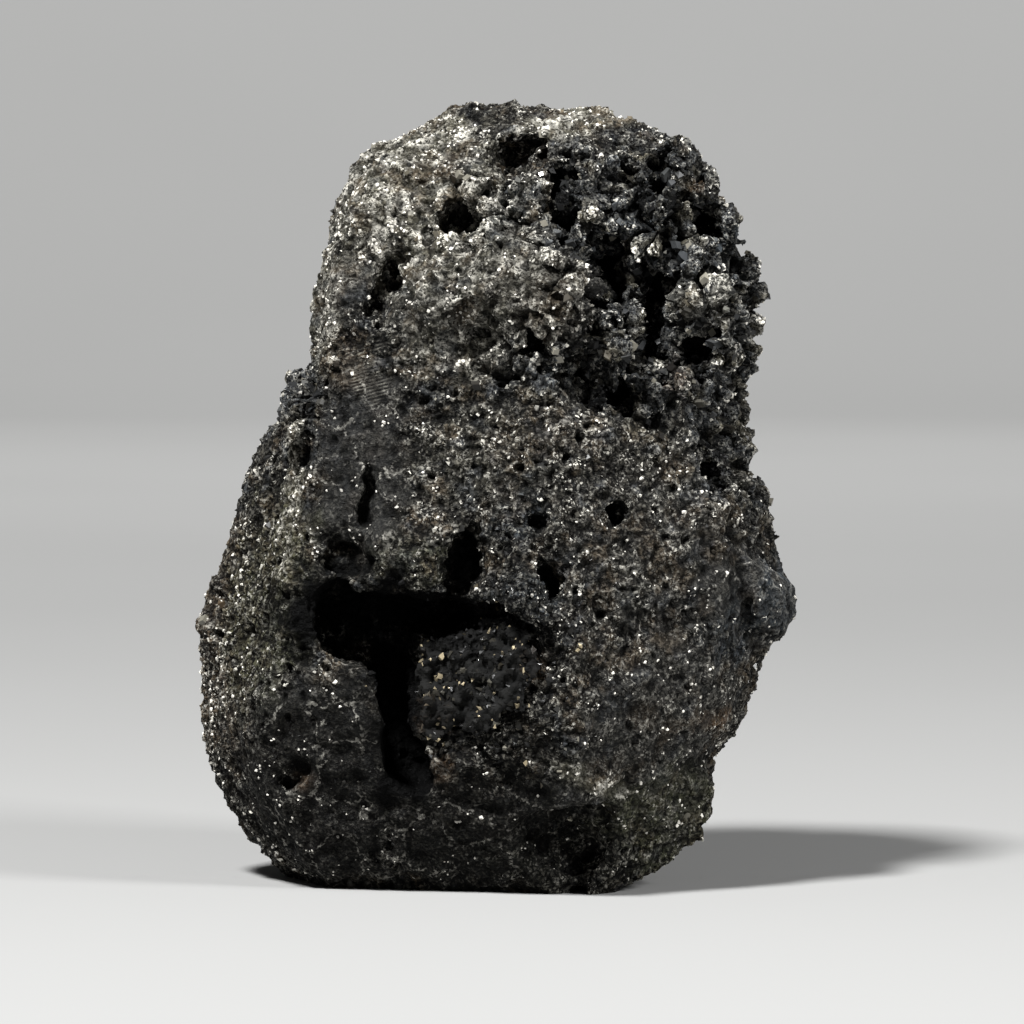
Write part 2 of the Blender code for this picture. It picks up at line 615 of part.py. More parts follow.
def tip_rise(x, z, tips):
    """How far the highest crystal tip stands over its bed at this place."""
    highest = 0.0
    for tip_x, tip_z, rise, turn in tips:
        across = max(
            (x - tip_x) * math.cos(turn + side * math.tau / 3) + (z - tip_z) * math.sin(turn + side * math.tau / 3)
            for side in range(3)
        )
        highest = max(highest, rise - DRUSE_TIP_SLOPE * across)
    return highest


def make_druse(crystal):
    """A crust of crystal tips over the slope. Its back keeps a small gap to the crystal."""
    find = surface_finder(crystal)
    tips = druse_tips(random.Random(SEED))
    xs, zs = zip(*DRUSE_OUTLINE)
    columns = range(int((max(xs) - min(xs)) / DRUSE_STEP) + 2)
    rows = range(int((max(zs) - min(zs)) / DRUSE_STEP) + 2)
    wall = {}
    for i in columns:
        for j in rows:
            point, _ = find(0.0, min(xs) + i * DRUSE_STEP, min(zs) + j * DRUSE_STEP)
            wall[i, j] = point.y
    shape = bmesh.new()
    grid = {}
    for i, j in wall:
        x, z = min(xs) + i * DRUSE_STEP, min(zs) + j * DRUSE_STEP
        near = [wall[i + a, j + b] for a in (-1, 0, 1) for b in (-1, 0, 1) if (i + a, j + b) in wall]
        if not inside(DRUSE_OUTLINE, x, z) or max(near) - min(near) > 4.5:
            continue
        back = min(near) - DRUSE_GAP
        depth = back - FACE_AT_HOLLOW - FACE_SLANT * x
        front = back - DRUSE_BED - tip_rise(x, z, tips) * max(0.25, min(1.0, depth / DRUSE_FULL_DEPTH))
        grid[i, j] = (shape.verts.new((x, front, z)), shape.verts.new((x, back, z)))
    cells = [(i, j) for i, j in grid if {(i + 1, j), (i, j + 1), (i + 1, j + 1)} <= grid.keys()]
    for i, j in cells:
        corners = [grid[i, j], grid[i + 1, j], grid[i + 1, j + 1], grid[i, j + 1]]
        shape.faces.new([front for front, _ in corners])
        shape.faces.new([back for _, back in reversed(corners)])
        sides = (((i, j - 1), 0, 1), ((i + 1, j), 1, 2), ((i, j + 1), 2, 3), ((i - 1, j), 3, 0))
        for neighbour, a, b in sides:
            if neighbour not in cells:
                shape.faces.new((corners[a][0], corners[a][1], corners[b][1], corners[b][0]))
    loose = [vertex for vertex in shape.verts if not vertex.link_faces]
    bmesh.ops.delete(shape, geom=loose, context="VERTS")
    druse = new_object("hollow_druse", shape)
    keep_largest(druse)
    thin_to(druse, DRUSE_TRIANGLES)
    return druse


# ---------------------------------------------------------------- finishing
def paint(target, material):
    colour, roughness = material
    made = bpy.data.materials.new(target.name)
    made.use_nodes = True
    surface = made.node_tree.nodes["Principled BSDF"]
    surface.inputs["Base Color"].default_value = colour
    surface.inputs["Roughness"].default_value = roughness
    surface.inputs["Metallic"].default_value = 0.0
    target.data.materials.clear()
    target.data.materials.append(made)


def centre_on_foot(crystal, others):
    """Moves everything so that the crystal's middle stands over the origin."""
    xs = [vertex.co.x for vertex in crystal.data.vertices]
    ys = [vertex.co.y for vertex in crystal.data.vertices]
    shift = Matrix.Translation((-(min(xs) + max(xs)) / 2, -(min(ys) + max(ys)) / 2, 0.0))
    for target in (crystal, *others):
        target.data.transform(shift)


def main():
    clear_scene()
    crystal = make_crystal()
    druse = make_druse(crystal)
    paint(crystal, BLACK_CALCITE)
    paint(druse, GREY_DRUSE)
    centre_on_foot(crystal, [druse])


main()
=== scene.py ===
import json
import math
from collections import namedtuple

import bpy
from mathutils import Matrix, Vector

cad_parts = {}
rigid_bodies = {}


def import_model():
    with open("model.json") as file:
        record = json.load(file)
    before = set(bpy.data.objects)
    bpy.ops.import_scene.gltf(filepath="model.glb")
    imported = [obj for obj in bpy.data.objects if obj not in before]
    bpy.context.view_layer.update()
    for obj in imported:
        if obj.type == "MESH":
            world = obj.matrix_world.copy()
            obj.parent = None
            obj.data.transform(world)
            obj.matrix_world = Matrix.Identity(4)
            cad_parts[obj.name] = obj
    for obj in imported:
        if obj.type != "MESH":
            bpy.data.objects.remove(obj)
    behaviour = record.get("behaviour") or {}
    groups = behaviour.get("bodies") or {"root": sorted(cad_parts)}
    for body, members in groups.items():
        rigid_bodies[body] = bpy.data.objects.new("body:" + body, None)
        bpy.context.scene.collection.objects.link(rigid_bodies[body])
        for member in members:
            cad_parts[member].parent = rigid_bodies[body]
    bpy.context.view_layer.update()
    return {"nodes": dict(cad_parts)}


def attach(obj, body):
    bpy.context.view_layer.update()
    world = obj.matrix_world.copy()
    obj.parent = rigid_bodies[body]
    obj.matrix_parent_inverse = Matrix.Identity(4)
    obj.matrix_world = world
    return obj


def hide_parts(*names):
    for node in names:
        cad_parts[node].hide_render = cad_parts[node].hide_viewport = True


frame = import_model()

MM = 0.001
PER_MM = 1000.0

# ---------------------------------------------------------------- where each finish shows
# In millimetres: the middle of each patch, its half sizes across, in depth and up, how far it leans over to
# the right in degrees, and how strong it is.
Patch = namedtuple("Patch", "x y z across deep tall lean strength")
FROST = (
    Patch(-11.0, -10.0, 103.0, 15.0, 26.0, 15.0, 20.0, 0.75),
    Patch(-15.5, -14.0, 105.3, 7.0, 14.0, 3.0, 0.0, 1.0),
    Patch(-7.3, -6.0, 115.6, 6.0, 12.0, 2.4, 25.0, 0.9),
    Patch(15.0, -4.0, 117.0, 10.0, 12.0, 2.8, -14.0, 0.9),
    Patch(2.0, -22.0, 91.0, 13.0, 16.0, 9.0, 0.0, 0.55),
    Patch(-27.0, -10.0, 90.0, 4.0, 18.0, 13.0, 0.0, 0.7),
    Patch(-3.0, -28.0, 66.0, 13.0, 12.0, 8.0, 0.0, 0.22),
    Patch(14.0, -26.0, 18.0, 6.5, 12.0, 1.8, 24.0, 1.0),
    Patch(8.0, 14.0, 110.0, 20.0, 12.0, 9.0, 0.0, 0.6),
    Patch(30.6, -18.0, 88.4, 7.0, 9.0, 5.6, 0.0, 0.5),
    Patch(-6.0, -26.0, 84.0, 9.0, 12.0, 7.0, 0.0, 0.5),
    Patch(16.0, -24.0, 100.0, 6.0, 9.0, 5.0, 0.0, 0.4),
    Patch(-31.0, -18.0, 60.0, 1.9, 12.0, 14.0, 3.0, 0.8),
)
CREAM = (
    Patch(-44.5, -4.0, 27.0, 3.6, 15.0, 15.0, 0.0, 1.0),
    Patch(-25.0, -16.0, 22.0, 8.0, 10.0, 2.0, 0.0, 0.4),
    Patch(28.0, 18.0, 44.0, 10.0, 10.0, 12.0, 0.0, 0.5),
    Patch(-10.5, -18.0, 35.0, 3.4, 12.0, 4.0, 0.0, 1.0),
)
BROWN = (
    Patch(-9.8, -16.0, 108.8, 4.6, 9.0, 2.6, 0.0, 1.0),
    Patch(-23.0, -20.0, 80.0, 3.6, 9.0, 4.2, 0.0, 0.8),
    Patch(9.0, -22.0, 89.0, 6.5, 10.0, 8.0, 0.0, 0.6),
    Patch(-34.6, -14.0, 52.0, 6.0, 12.0, 8.0, 15.0, 0.7),
    Patch(6.0, -28.0, 69.0, 9.0, 9.0, 3.4, 0.0, 0.5),
    Patch(-41.0, -4.0, 36.0, 7.0, 16.0, 20.0, 0.0, 0.9),
    Patch(-14.0, 20.0, 62.0, 14.0, 10.0, 16.0, 0.0, 0.5),
)
RUST = (
    Patch(4.9, -28.0, 34.4, 3.2, 9.0, 3.2, 0.0, 0.8),
    Patch(-9.3, -22.0, 27.4, 4.4, 12.0, 3.0, 20.0, 1.0),
    Patch(-8.6, -22.0, 19.4, 2.4, 10.0, 3.0, 0.0, 0.8),
    Patch(34.0, -20.0, 25.6, 4.0, 9.0, 2.4, 0.0, 0.6),
    Patch(27.6, -22.0, 79.0, 2.4, 9.0, 3.8, 0.0, 0.7),
    Patch(30.0, -12.0, 106.0, 1.6, 9.0, 1.2, 0.0, 1.0),
    Patch(-29.0, -18.0, 17.0, 2.0, 9.0, 1.6, 0.0, 0.6),
)
OLIVE = (
    Patch(24.0, -16.0, 10.0, 12.0, 14.0, 10.0, 0.0, 0.9),
    Patch(-36.0, -14.0, 44.0, 9.5, 14.0, 18.0, 12.0, 1.0),
    Patch(-12.0, -28.0, 50.0, 9.0, 8.0, 4.0, 0.0, 0.7),
    Patch(9.0, -22.0, 5.0, 9.0, 10.0, 5.0, 0.0, 0.6),
    Patch(20.0, 18.0, 84.0, 14.0, 9.0, 16.0, 0.0, 0.5),
)
BLUE = (
    Patch(4.7, -28.0, 43.4, 4.6, 10.0, 6.2, 10.0, 1.0),
    Patch(21.7, -16.0, 100.3, 3.0, 9.0, 2.0, 0.0, 0.9),
    Patch(1.9, -18.0, 103.4, 3.8, 9.0, 2.8, 0.0, 0.9),
    Patch(42.6, -10.0, 44.0, 5.0, 12.0, 6.0, 0.0, 0.8),
    Patch(37.5, -16.0, 38.8, 7.0, 10.0, 4.6, 0.0, 0.6),
    Patch(4.0, -28.0, 58.0, 4.6, 8.0, 4.4, 0.0, 0.7),
    Patch(34.9, -12.0, 98.4, 3.0, 9.0, 1.8, 0.0, 0.9),
    Patch(9.0, -20.0, 78.0, 3.0, 8.0, 3.0, 0.0, 0.6),
)
SMOOTH = (
    Patch(-20.4, -22.0, 64.0, 7.6, 12.0, 16.0, 8.0, 1.0),
    Patch(-25.0, -22.0, 24.0, 12.0, 14.0, 10.0, 0.0, 1.0),
    Patch(-30.0, -20.0, 12.0, 16.0, 16.0, 12.0, 0.0, 0.9),
    Patch(-4.0, -24.0, 9.0, 16.0, 14.0, 10.0, 0.0, 0.8),
    Patch(9.0, -24.0, 15.4, 5.0, 9.0, 4.0, 0.0, 0.9),
    Patch(-22.7, -18.0, 91.4, 3.4, 9.0, 5.4, 0.0, 0.7),
    Patch(41.0, -12.0, 43.0, 8.0, 14.0, 7.4, 0.0, 0.7),
    Patch(10.0, 22.0, 46.0, 22.0, 12.0, 20.0, 15.0, 0.7),
    Patch(22.0, -20.0, 26.0, 17.0, 16.0, 17.0, 0.0, 0.55),
    Patch(25.0, -20.0, 50.0, 15.0, 16.0, 14.0, 0.0, 0.25),
    Patch(3.0, -22.0, 91.4, 9.5, 12.0, 7.6, 0.0, 0.55),
    Patch(-10.0, -22.0, 88.0, 7.0, 12.0, 6.0, 0.0, 0.5),
    Patch(35.0, -16.0, 46.0, 7.0, 12.0, 6.0, 20.0, 0.8),
)
CRUMBLED = (
    Patch(24.0, -18.0, 93.0, 19.0, 22.0, 21.0, -12.0, 1.0),
    Patch(36.0, -8.0, 78.0, 9.0, 20.0, 22.0, 0.0, 0.8),
    Patch(-30.0, -8.0, 76.0, 5.0, 14.0, 8.0, 0.0, 0.8),
    Patch(6.0, -26.0, 80.0, 8.0, 9.0, 6.0, 0.0, 0.6),
    Patch(-2.0, -18.0, 103.0, 7.0, 12.0, 7.0, 0.0, 0.6),
    Patch(-26.0, 16.0, 96.0, 14.0, 12.0, 14.0, 0.0, 0.7),
)
# Charcoal patches: the crystal's own near-black tone, and painted shade on the low faces that turn down from
# the light and on the slope under the hollow's overhang.
CHARCOAL_AND_SHADE = (
    Patch(-29.0, -20.0, 14.0, 19.0, 20.0, 16.0, 0.0, 1.0),
    Patch(-22.0, -22.0, 26.0, 11.0, 14.0, 9.0, 0.0, 0.9),
    Patch(-3.0, -24.0, 9.0, 19.0, 16.0, 13.0, 0.0, 1.0),
    Patch(-1.0, -26.0, 32.0, 14.0, 14.0, 16.0, 0.0, 0.9),
    Patch(12.0, -20.0, 5.0, 10.0, 12.0, 6.0, 0.0, 1.0),
    Patch(-20.4, -22.0, 63.0, 8.0, 12.0, 17.0, 8.0, 0.5),
    Patch(18.0, -18.0, 95.0, 6.0, 12.0, 8.0, 0.0, 0.2),
    Patch(24.0, -18.0, 90.0, 5.0, 12.0, 9.0, 0.0, 0.2),
    Patch(17.0, -20.0, 79.0, 8.0, 12.0, 5.0, 0.0, 0.2),
    Patch(-6.0, 24.0, 26.0, 26.0, 12.0, 15.0, 0.0, 0.7),
)
PITTED = (
    Patch(-36.0, -14.0, 37.0, 12.0, 16.0, 17.0, 10.0, 1.0),
    Patch(-28.0, -6.0, 74.0, 9.0, 18.0, 14.0, 0.0, 0.7),
    Patch(4.0, -28.0, 62.0, 16.0, 12.0, 12.0, 0.0, 0.6),
    Patch(40.0, -14.0, 43.0, 8.0, 12.0, 8.0, 0.0, 0.7),
    Patch(24.0, -24.0, 50.0, 15.0, 12.0, 16.0, 0.0, 0.5),
    Patch(24.0, 20.0, 60.0, 16.0, 14.0, 26.0, 0.0, 0.9),
)
STRIATED = (
    Patch(-19.2, -20.0, 82.2, 3.0, 12.0, 1.8, 0.0, 1.0),
    Patch(-18.7, -20.0, 77.2, 3.0, 12.0, 3.2, 0.0, 1.0),
    Patch(-16.0, 22.0, 84.0, 10.0, 12.0, 10.0, 0.0, 0.9),
)
# Cave patches: the T-shaped hollow, two holes by its bar and the slope under the bar, painted in near-black
# shade and left free of grains.
CAVE = (
    Patch(-15.0, -16.0, 43.0, 19.0, 13.0, 8.0, 0.0, 1.0),
    Patch(-15.4, -15.0, 30.0, 6.0, 12.0, 15.0, 0.0, 1.0),
    Patch(-12.0, -15.0, 18.0, 6.8, 12.0, 7.4, 0.0, 1.0),
    Patch(-4.8, -22.0, 49.6, 2.2, 8.0, 6.0, 12.0, 1.0),
    Patch(8.0, -22.0, 47.6, 1.4, 8.0, 2.6, -25.0, 1.0),
    Patch(-6.0, -20.0, 41.5, 10.0, 12.0, 4.4, 0.0, 0.9),
)
DRUSE = (
    Patch(-2.0, -26.0, 33.0, 17.0, 15.0, 15.0, 0.0, 1.0),
)
ZONES = {
    "cave": CAVE, "frost": FROST, "cream": CREAM, "brown": BROWN, "rust": RUST, "olive": OLIVE, "blue": BLUE,
    "smooth": SMOOTH, "crumbled": CRUMBLED, "charcoal": CHARCOAL_AND_SHADE, "pitted": PITTED, "striated": STRIATED,
    "druse": DRUSE,
}

# Holes and bulges of the faces, in millimetres: the middle, the half sizes across and up, the lean to the
# right in degrees, and how far in or out they go. The front's lie towards -Y and the back's towards +Y.
Spot = namedtuple("Spot", "x z across tall lean reach")
FRONT_HOLES = (
    Spot(-4.8, 49.6, 2.6, 6.6, 12.0, 7.0),
    Spot(-19.3, 58.5, 1.1, 5.2, 4.0, 3.0),
    Spot(-22.0, 50.4, 4.0, 3.0, 0.0, 4.0),
    Spot(8.1, 47.6, 1.7, 3.0, -25.0, 4.5),
    Spot(10.1, 104.1, 2.4, 5.8, 6.0, 4.0),
    Spot(16.4, 94.8, 3.2, 4.8, -10.0, 5.0),
    Spot(23.3, 88.8, 2.0, 6.6, 0.0, 5.0),
    Spot(14.4, 76.2, 6.8, 3.0, 15.0, 5.0),
    Spot(31.7, 101.2, 1.6, 2.8, 0.0, 4.0),
    Spot(-16.2, 91.1, 2.2, 5.8, 18.0, 4.0),
    Spot(18.2, 57.6, 1.5, 1.8, 0.0, 4.0),
    Spot(32.5, 62.2, 1.5, 3.4, -30.0, 3.5),
    Spot(-0.9, 87.6, 1.1, 3.2, 10.0, 2.5),
    Spot(10.6, 6.6, 5.6, 3.6, 8.0, 3.6),
    Spot(29.7, 83.3, 3.4, 1.1, 0.0, 3.0),
    Spot(-4.8, 101.2, 3.0, 2.2, 0.0, 3.5),
    Spot(4.0, 110.8, 4.2, 3.4, 0.0, 4.0),
    Spot(-30.9, 17.0, 1.7, 1.3, 0.0, 3.0),
    Spot(-25.4, 93.0, 0.9, 1.9, 0.0, 2.5),
)
BACK_HOLES = (
    Spot(14.0, 92.0, 3.0, 6.0, 20.0, 4.0),
    Spot(-8.0, 84.0, 2.0, 3.0, 0.0, 3.5),
    Spot(22.0, 66.0, 1.6, 5.0, -15.0, 3.5),
    Spot(-18.0, 54.0, 4.6, 2.2, 12.0, 4.0),
    Spot(4.0, 40.0, 2.4, 2.0, 0.0, 3.5),
    Spot(-24.0, 26.0, 1.8, 4.2, 10.0, 3.5),
    Spot(18.0, 22.0, 5.0, 1.8, -14.0, 3.0),
)
FRONT_BULGES = (
    Spot(3.4, 91.4, 10.4, 7.6, -6.0, 2.0),
    Spot(-8.2, 88.2, 6.6, 6.0, 0.0, 1.4),
    Spot(30.6, 88.6, 5.8, 4.6, 0.0, 1.8),
    Spot(4.1, 46.7, 3.4, 10.0, -12.0, 2.0),
    Spot(-13.6, 51.8, 8.4, 4.6, 0.0, 1.2),
    Spot(18.7, 85.0, 4.0, 4.6, 0.0, 2.2),
    Spot(-9.8, 108.6, 5.4, 2.8, 0.0, 1.0),
    Spot(28.0, 96.0, 4.4, 4.0, 0.0, 1.4),
)
BACK_BULGES = (
    Spot(0.0, 98.0, 12.0, 8.0, 10.0, 2.0),
    Spot(-16.0, 70.0, 9.0, 10.0, 0.0, 1.6),
    Spot(20.0, 44.0, 10.0, 12.0, 20.0, 1.8),
)

# ---------------------------------------------------------------- how fine the meshes are
# In millimetres: the voxels of the skin before and after its faces are shaped, those of the crust in the
# hollow, how near points are merged, up to what height the foot is pushed down before it is cut flat, and
# how far. The triangles are what the skin is thinned to.
FIRST_VOXEL = 0.5
SKIN_VOXEL = 0.40
HOLLOW_VOXEL = 0.3
MERGE_DISTANCE = 0.001
FOOT_HEIGHT = 0.35
FOOT_TUCK = 2.0
SKIN_TRIANGLES = 190_000


# ---------------------------------------------------------------- node trees
class Link:
    """One output of a node. An expression on links adds the Math nodes that work it out."""

    def __init__(self, graph, socket):
        self.graph = graph
        self.socket = socket

    def out(self, name):
        return Link(self.graph, socket_named(self.socket.node.outputs, name))

    def __add__(self, other):
        return self.graph.maths("ADD", self, other)

    __radd__ = __add__

    def __sub__(self, other):
        return self.graph.maths("SUBTRACT", self, other)

    def __rsub__(self, other):
        return self.graph.maths("SUBTRACT", other, self)

    def __mul__(self, other):
        return self.graph.maths("MULTIPLY", self, other)

    __rmul__ = __mul__

    def __truediv__(self, other):
        return self.graph.maths("DIVIDE", self, other)

    def __pow__(self, other):
        return self.graph.maths("POWER", self, other)

    def larger(self, other):
        return self.graph.maths("MAXIMUM", self, other)

    def smaller(self, other):
        return self.graph.maths("MINIMUM", self, other)

    def rising(self, low, high):
        """0 below low and 1 above high, with a soft step between. With low over high it falls instead."""
        sockets = {"Value": self, "From Min": low, "From Max": high}
        return self.graph.node("ShaderNodeMapRange", {"interpolation_type": "SMOOTHSTEP"}, sockets)


def socket_named(sockets, key):
    """The socket in use that has this name, or the one that stands at this number among those in use."""
    used = [socket for socket in sockets if socket.enabled]
    return used[key] if isinstance(key, int) else next(socket for socket in used if socket.name == key)


class Graph:
    """A node tree that is being made."""

    def __init__(self, tree):
        self.tree = tree

    def node(self, kind, settings=None, sockets=None, result=0):
        """Adds a node: its settings first, then the values and links of its sockets."""
        made = self.tree.nodes.new(kind)
        for name, value in (settings or {}).items():
            if name == "stops":
                self.fill_ramp(made.color_ramp, value)
            else:
                setattr(made, name, value)
        for name, value in (sockets or {}).items():
            socket = socket_named(made.inputs, name)
            for one in value if isinstance(value, list) else [value]:
                if isinstance(one, Link):
                    self.tree.links.new(one.socket, socket)
                elif socket.type == "RGBA":
                    socket.default_value = (*one, 1.0)
                else:
                    socket.default_value = one
        used = [socket for socket in made.outputs if socket.enabled]
        return Link(self, socket_named(made.outputs, result)) if used else None

    def fill_ramp(self, ramp, stops):
        while len(ramp.elements) < len(stops):
            ramp.elements.new(1.0)
        for element, (position, colour) in zip(ramp.elements, stops):
            element.position = position
            element.color = (*colour, 1.0)

    def maths(self, operation, first, second):
        return self.node("ShaderNodeMath", {"operation": operation}, {0: first, 1: second})

    def vector(self, operation, first, second):
        return self.node("ShaderNodeVectorMath", {"operation": operation}, {0: first, 1: second})

    def scaled(self, vector, factor):
        return self.node("ShaderNodeVectorMath", {"operation": "SCALE"}, {"Vector": vector, "Scale": factor})

    def length(self, vector):
        return self.node("ShaderNodeVectorMath", {"operation": "LENGTH"}, {0: vector}, "Value")

    def noise(self, place, size, detail=2.0, roughness=0.5):
        sockets = {"Vector": place, "Scale": 1.0 / size, "Detail": detail, "Roughness": roughness}
        return self.node("ShaderNodeTexNoise", {}, sockets)

    def wander(self, place, size, detail=2.0, roughness=0.5):
        """A vector that wanders from place to place, by up to half a unit each way."""
        colour = self.noise(place, size, detail, roughness).out("Color")
        return self.vector("SUBTRACT", colour, (0.5, 0.5, 0.5))

    def leaned(self, vector, degrees):
        """The vector turned about the Y axis, for what leans over to the right."""
        sockets = {"Vector": vector, "Angle": math.radians(-degrees)}
        return self.node("ShaderNodeVectorRotate", {"rotation_type": "Y_AXIS"}, sockets)

    def cells(self, place, size, feature="F1"):
        return self.node("ShaderNodeTexVoronoi", {"feature": feature}, {"Vector": place, "Scale": 1.0 / size})

    def blocks(self, place, size):
        """A number from 0 to 1 for each of the square blocks that fill the space."""
        sockets = {"Vector": place, "Scale": 1.0 / size, "Randomness": 0.85}
        cell = self.node("ShaderNodeTexVoronoi", {"feature": "F1", "distance": "CHEBYCHEV"}, sockets, "Color")
        return self.split(cell).out("X")

    def split(self, vector):
        return self.node("ShaderNodeSeparateXYZ", {}, {"Vector": vector})

    def chances(self, lowest, highest, seed, kind="FLOAT"):
        """A random value for each instance."""
        sockets = {"Min": lowest, "Max": highest, "Seed": seed}
        return self.node("FunctionNodeRandomValue", {"data_type": kind}, sockets)

    def place_in_mm(self):
        return self.scaled(self.node("GeometryNodeInputPosition"), PER_MM)

    def moved(self, geometry, offset):
        return self.node("GeometryNodeSetPosition", {}, {"Geometry": geometry, "Offset": offset})

    def mixed(self, share, first, second):
        """Two colours mixed: all of the first at 0 and all of the second at 1."""
        return self.node("ShaderNodeMix", {"data_type": "RGBA"}, {"Factor": share, "A": first, "B": second})

    def stored(self, name):
        """A value that a piece's mesh holds at each point."""
        if self.tree.type == "GEOMETRY":
            return self.node("GeometryNodeInputNamedAttribute", {"data_type": "FLOAT"}, {"Name": name})
        return self.node("ShaderNodeAttribute", {"attribute_name": name}, {}, "Fac")


# ---------------------------------------------------------------- modelling by hand
def deselect_all():
    if bpy.context.mode != "OBJECT":
        bpy.ops.object.mode_set(mode="OBJECT")
    bpy.ops.object.select_all(action="DESELECT")


def take(piece):
    """Selects one piece alone and makes it the active one."""
    deselect_all()
    piece.select_set(True)
    bpy.context.view_layer.objects.active = piece


def apply_modifier(piece, kind, **settings):
    take(piece)
    modifier = piece.modifiers.new(kind.lower(), kind)
    for name, value in settings.items():
        setattr(modifier, name, value)
    bpy.ops.object.modifier_apply(modifier=modifier.name)


def geometry_graph(name):
    """An empty geometry tree, and the link that brings the piece in."""
    tree = bpy.data.node_groups.new(name, "GeometryNodeTree")
    tree.interface.new_socket("Geometry", in_out="INPUT", socket_type="NodeSocketGeometry")
    tree.interface.new_socket("Geometry", in_out="OUTPUT", socket_type="NodeSocketGeometry")
    graph = Graph(tree)
    return graph, graph.node("NodeGroupInput")


def apply_geometry(piece, graph, result):
    graph.node("NodeGroupOutput", {}, {0: result})
    apply_modifier(piece, "NODES", node_group=graph.tree)
    bpy.data.node_groups.remove(graph.tree)


def copy_of_node(node, name):
    """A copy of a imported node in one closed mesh, free of its parent."""
    take(frame["nodes"][node])
    bpy.ops.object.duplicate()
    piece = bpy.context.active_object
    piece.name = name
    bpy.ops.object.parent_clear(type="CLEAR_KEEP_TRANSFORM")
    bpy.ops.object.transform_apply(location=True, rotation=True, scale=True)
    bpy.ops.object.mode_set(mode="EDIT")
    bpy.ops.mesh.select_all(action="SELECT")
    bpy.ops.mesh.remove_doubles(threshold=MERGE_DISTANCE * MM)
    bpy.ops.object.mode_set(mode="OBJECT")
    piece.data.materials.clear()
    return piece


# How a cube is pressed into a cleavage rhomb, and the radius of a grain of size 1 in millimetres.
RHOMB_PRESSED = (1.08, 1.08, 0.80)
GRAIN_RADIUS = 0.62


def cleavage_rhomb(worn, seed, cuts=0):
    """A small cleavage rhomb of calcite: a cube pressed flat along its long diagonal, its corners worn."""
    deselect_all()
    bpy.ops.mesh.primitive_cube_add(size=1.0 * MM)
    rhomb = bpy.context.active_object
    bpy.ops.object.mode_set(mode="EDIT")
    bpy.ops.transform.rotate(value=math.radians(45.0), orient_axis="Z", center_override=(0, 0, 0))
    bpy.ops.transform.rotate(value=math.atan(math.sqrt(2.0)), orient_axis="Y", center_override=(0, 0, 0))
    bpy.ops.transform.resize(value=RHOMB_PRESSED)
    if cuts:
        bpy.ops.mesh.subdivide(number_cuts=cuts)
    bpy.ops.transform.vertex_random(offset=worn * MM, uniform=0.6, seed=seed)
    bpy.ops.object.mode_set(mode="OBJECT")
    return rhomb


def granule(worn, seed):
    """A small rounded grain of eight faces, worn uneven."""
    deselect_all()
    bpy.ops.mesh.primitive_uv_sphere_add(segments=4, ring_count=2, radius=GRAIN_RADIUS * MM)
    grain = bpy.context.active_object
    bpy.ops.object.mode_set(mode="EDIT")
    bpy.ops.mesh.select_all(action="SELECT")
    bpy.ops.transform.vertex_random(offset=worn * MM, uniform=0.8, seed=seed)
    bpy.ops.object.mode_set(mode="OBJECT")
    return grain


def shard(worn, seed):
    """A small sharp grain of four faces."""
    deselect_all()
    bpy.ops.mesh.primitive_cone_add(vertices=3, radius1=GRAIN_RADIUS * MM, radius2=0.0, depth=0.9 * MM)
    grain = bpy.context.active_object
    bpy.ops.object.mode_set(mode="EDIT")
    bpy.ops.mesh.select_all(action="SELECT")
    bpy.ops.transform.vertex_random(offset=worn * MM, uniform=0.8, seed=seed)
    bpy.ops.object.mode_set(mode="OBJECT")
    return grain


def crystal_tooth():
    """A short six-sided crystal tip."""
    deselect_all()
    bpy.ops.mesh.primitive_cone_add(
        vertices=6, radius1=0.52 * MM, radius2=0.0, depth=1.3 * MM, location=(0, 0, 0.2 * MM),
    )
    tooth = bpy.context.active_object
    bpy.ops.object.transform_apply(location=True, rotation=True, scale=True)
    return tooth


# ---------------------------------------------------------------- the crystal's skin
def shape_faces(piece):
    """Sinks the holes and swells the bulges of the front and the back."""
    graph, geometry = geometry_graph("faces")
    place = graph.place_in_mm()
    normal = graph.node("GeometryNodeInputNormal")
    facing = graph.split(normal).out("Y")
    wobble = (graph.noise(place, 2.2, 5.0, 0.75) - 0.5) * 2.0
    deep, proud = 0.0, 0.0
    for side, holes, bulges in ((-1, FRONT_HOLES, FRONT_BULGES), (1, BACK_HOLES, BACK_BULGES)):
        open_side = (facing * side).rising(0.0, 0.35)
        for spot in holes + bulges:
            away = graph.leaned(graph.vector("SUBTRACT", place, (spot.x, 0.0, spot.z)), spot.lean)
            away = graph.vector("MULTIPLY", away, (1.0 / spot.across, 0.0, 1.0 / spot.tall))
            near = graph.length(away) + wobble
            if spot in holes:
                deep = deep + near.rising(1.2, 0.75) * open_side * (-side * spot.reach)
            else:
                proud = proud + near.rising(1.3, 0.3) * open_side * spot.reach
    inward = graph.node("ShaderNodeCombineXYZ", {}, {"Y": deep * MM})
    above_foot = graph.split(place).out("Z").rising(0.5, 4.0)
    bent = graph.scaled(graph.wander(place, 4.5, 3.0, 0.6), above_foot * (3.0 * MM))
    offset = graph.vector("ADD", inward, graph.vector("ADD", graph.scaled(normal, proud * MM), bent))
    apply_geometry(piece, graph, graph.moved(geometry, offset))


def zone(graph, place, wobble, patches):
    """How far each place lies in the patches, from 0 to 1, with a ragged rim."""
    deepest = None
    for patch in patches:
        away = graph.vector("SUBTRACT", place, (patch.x, patch.y, patch.z))
        if patch.lean:
            away = graph.leaned(away, patch.lean)
        away = graph.vector("DIVIDE", away, (patch.across, patch.deep, patch.tall))
        inside = (graph.length(away) + wobble).rising(1.25, 0.7) * patch.strength
        deepest = inside if deepest is None else deepest.larger(inside)
    return deepest


def store(graph, geometry, name, value, domain="POINT"):
    sockets = {"Geometry": geometry, "Name": name, "Value": value}
    return graph.node("GeometryNodeStoreNamedAttribute", {"data_type": "FLOAT", "domain": domain}, sockets)


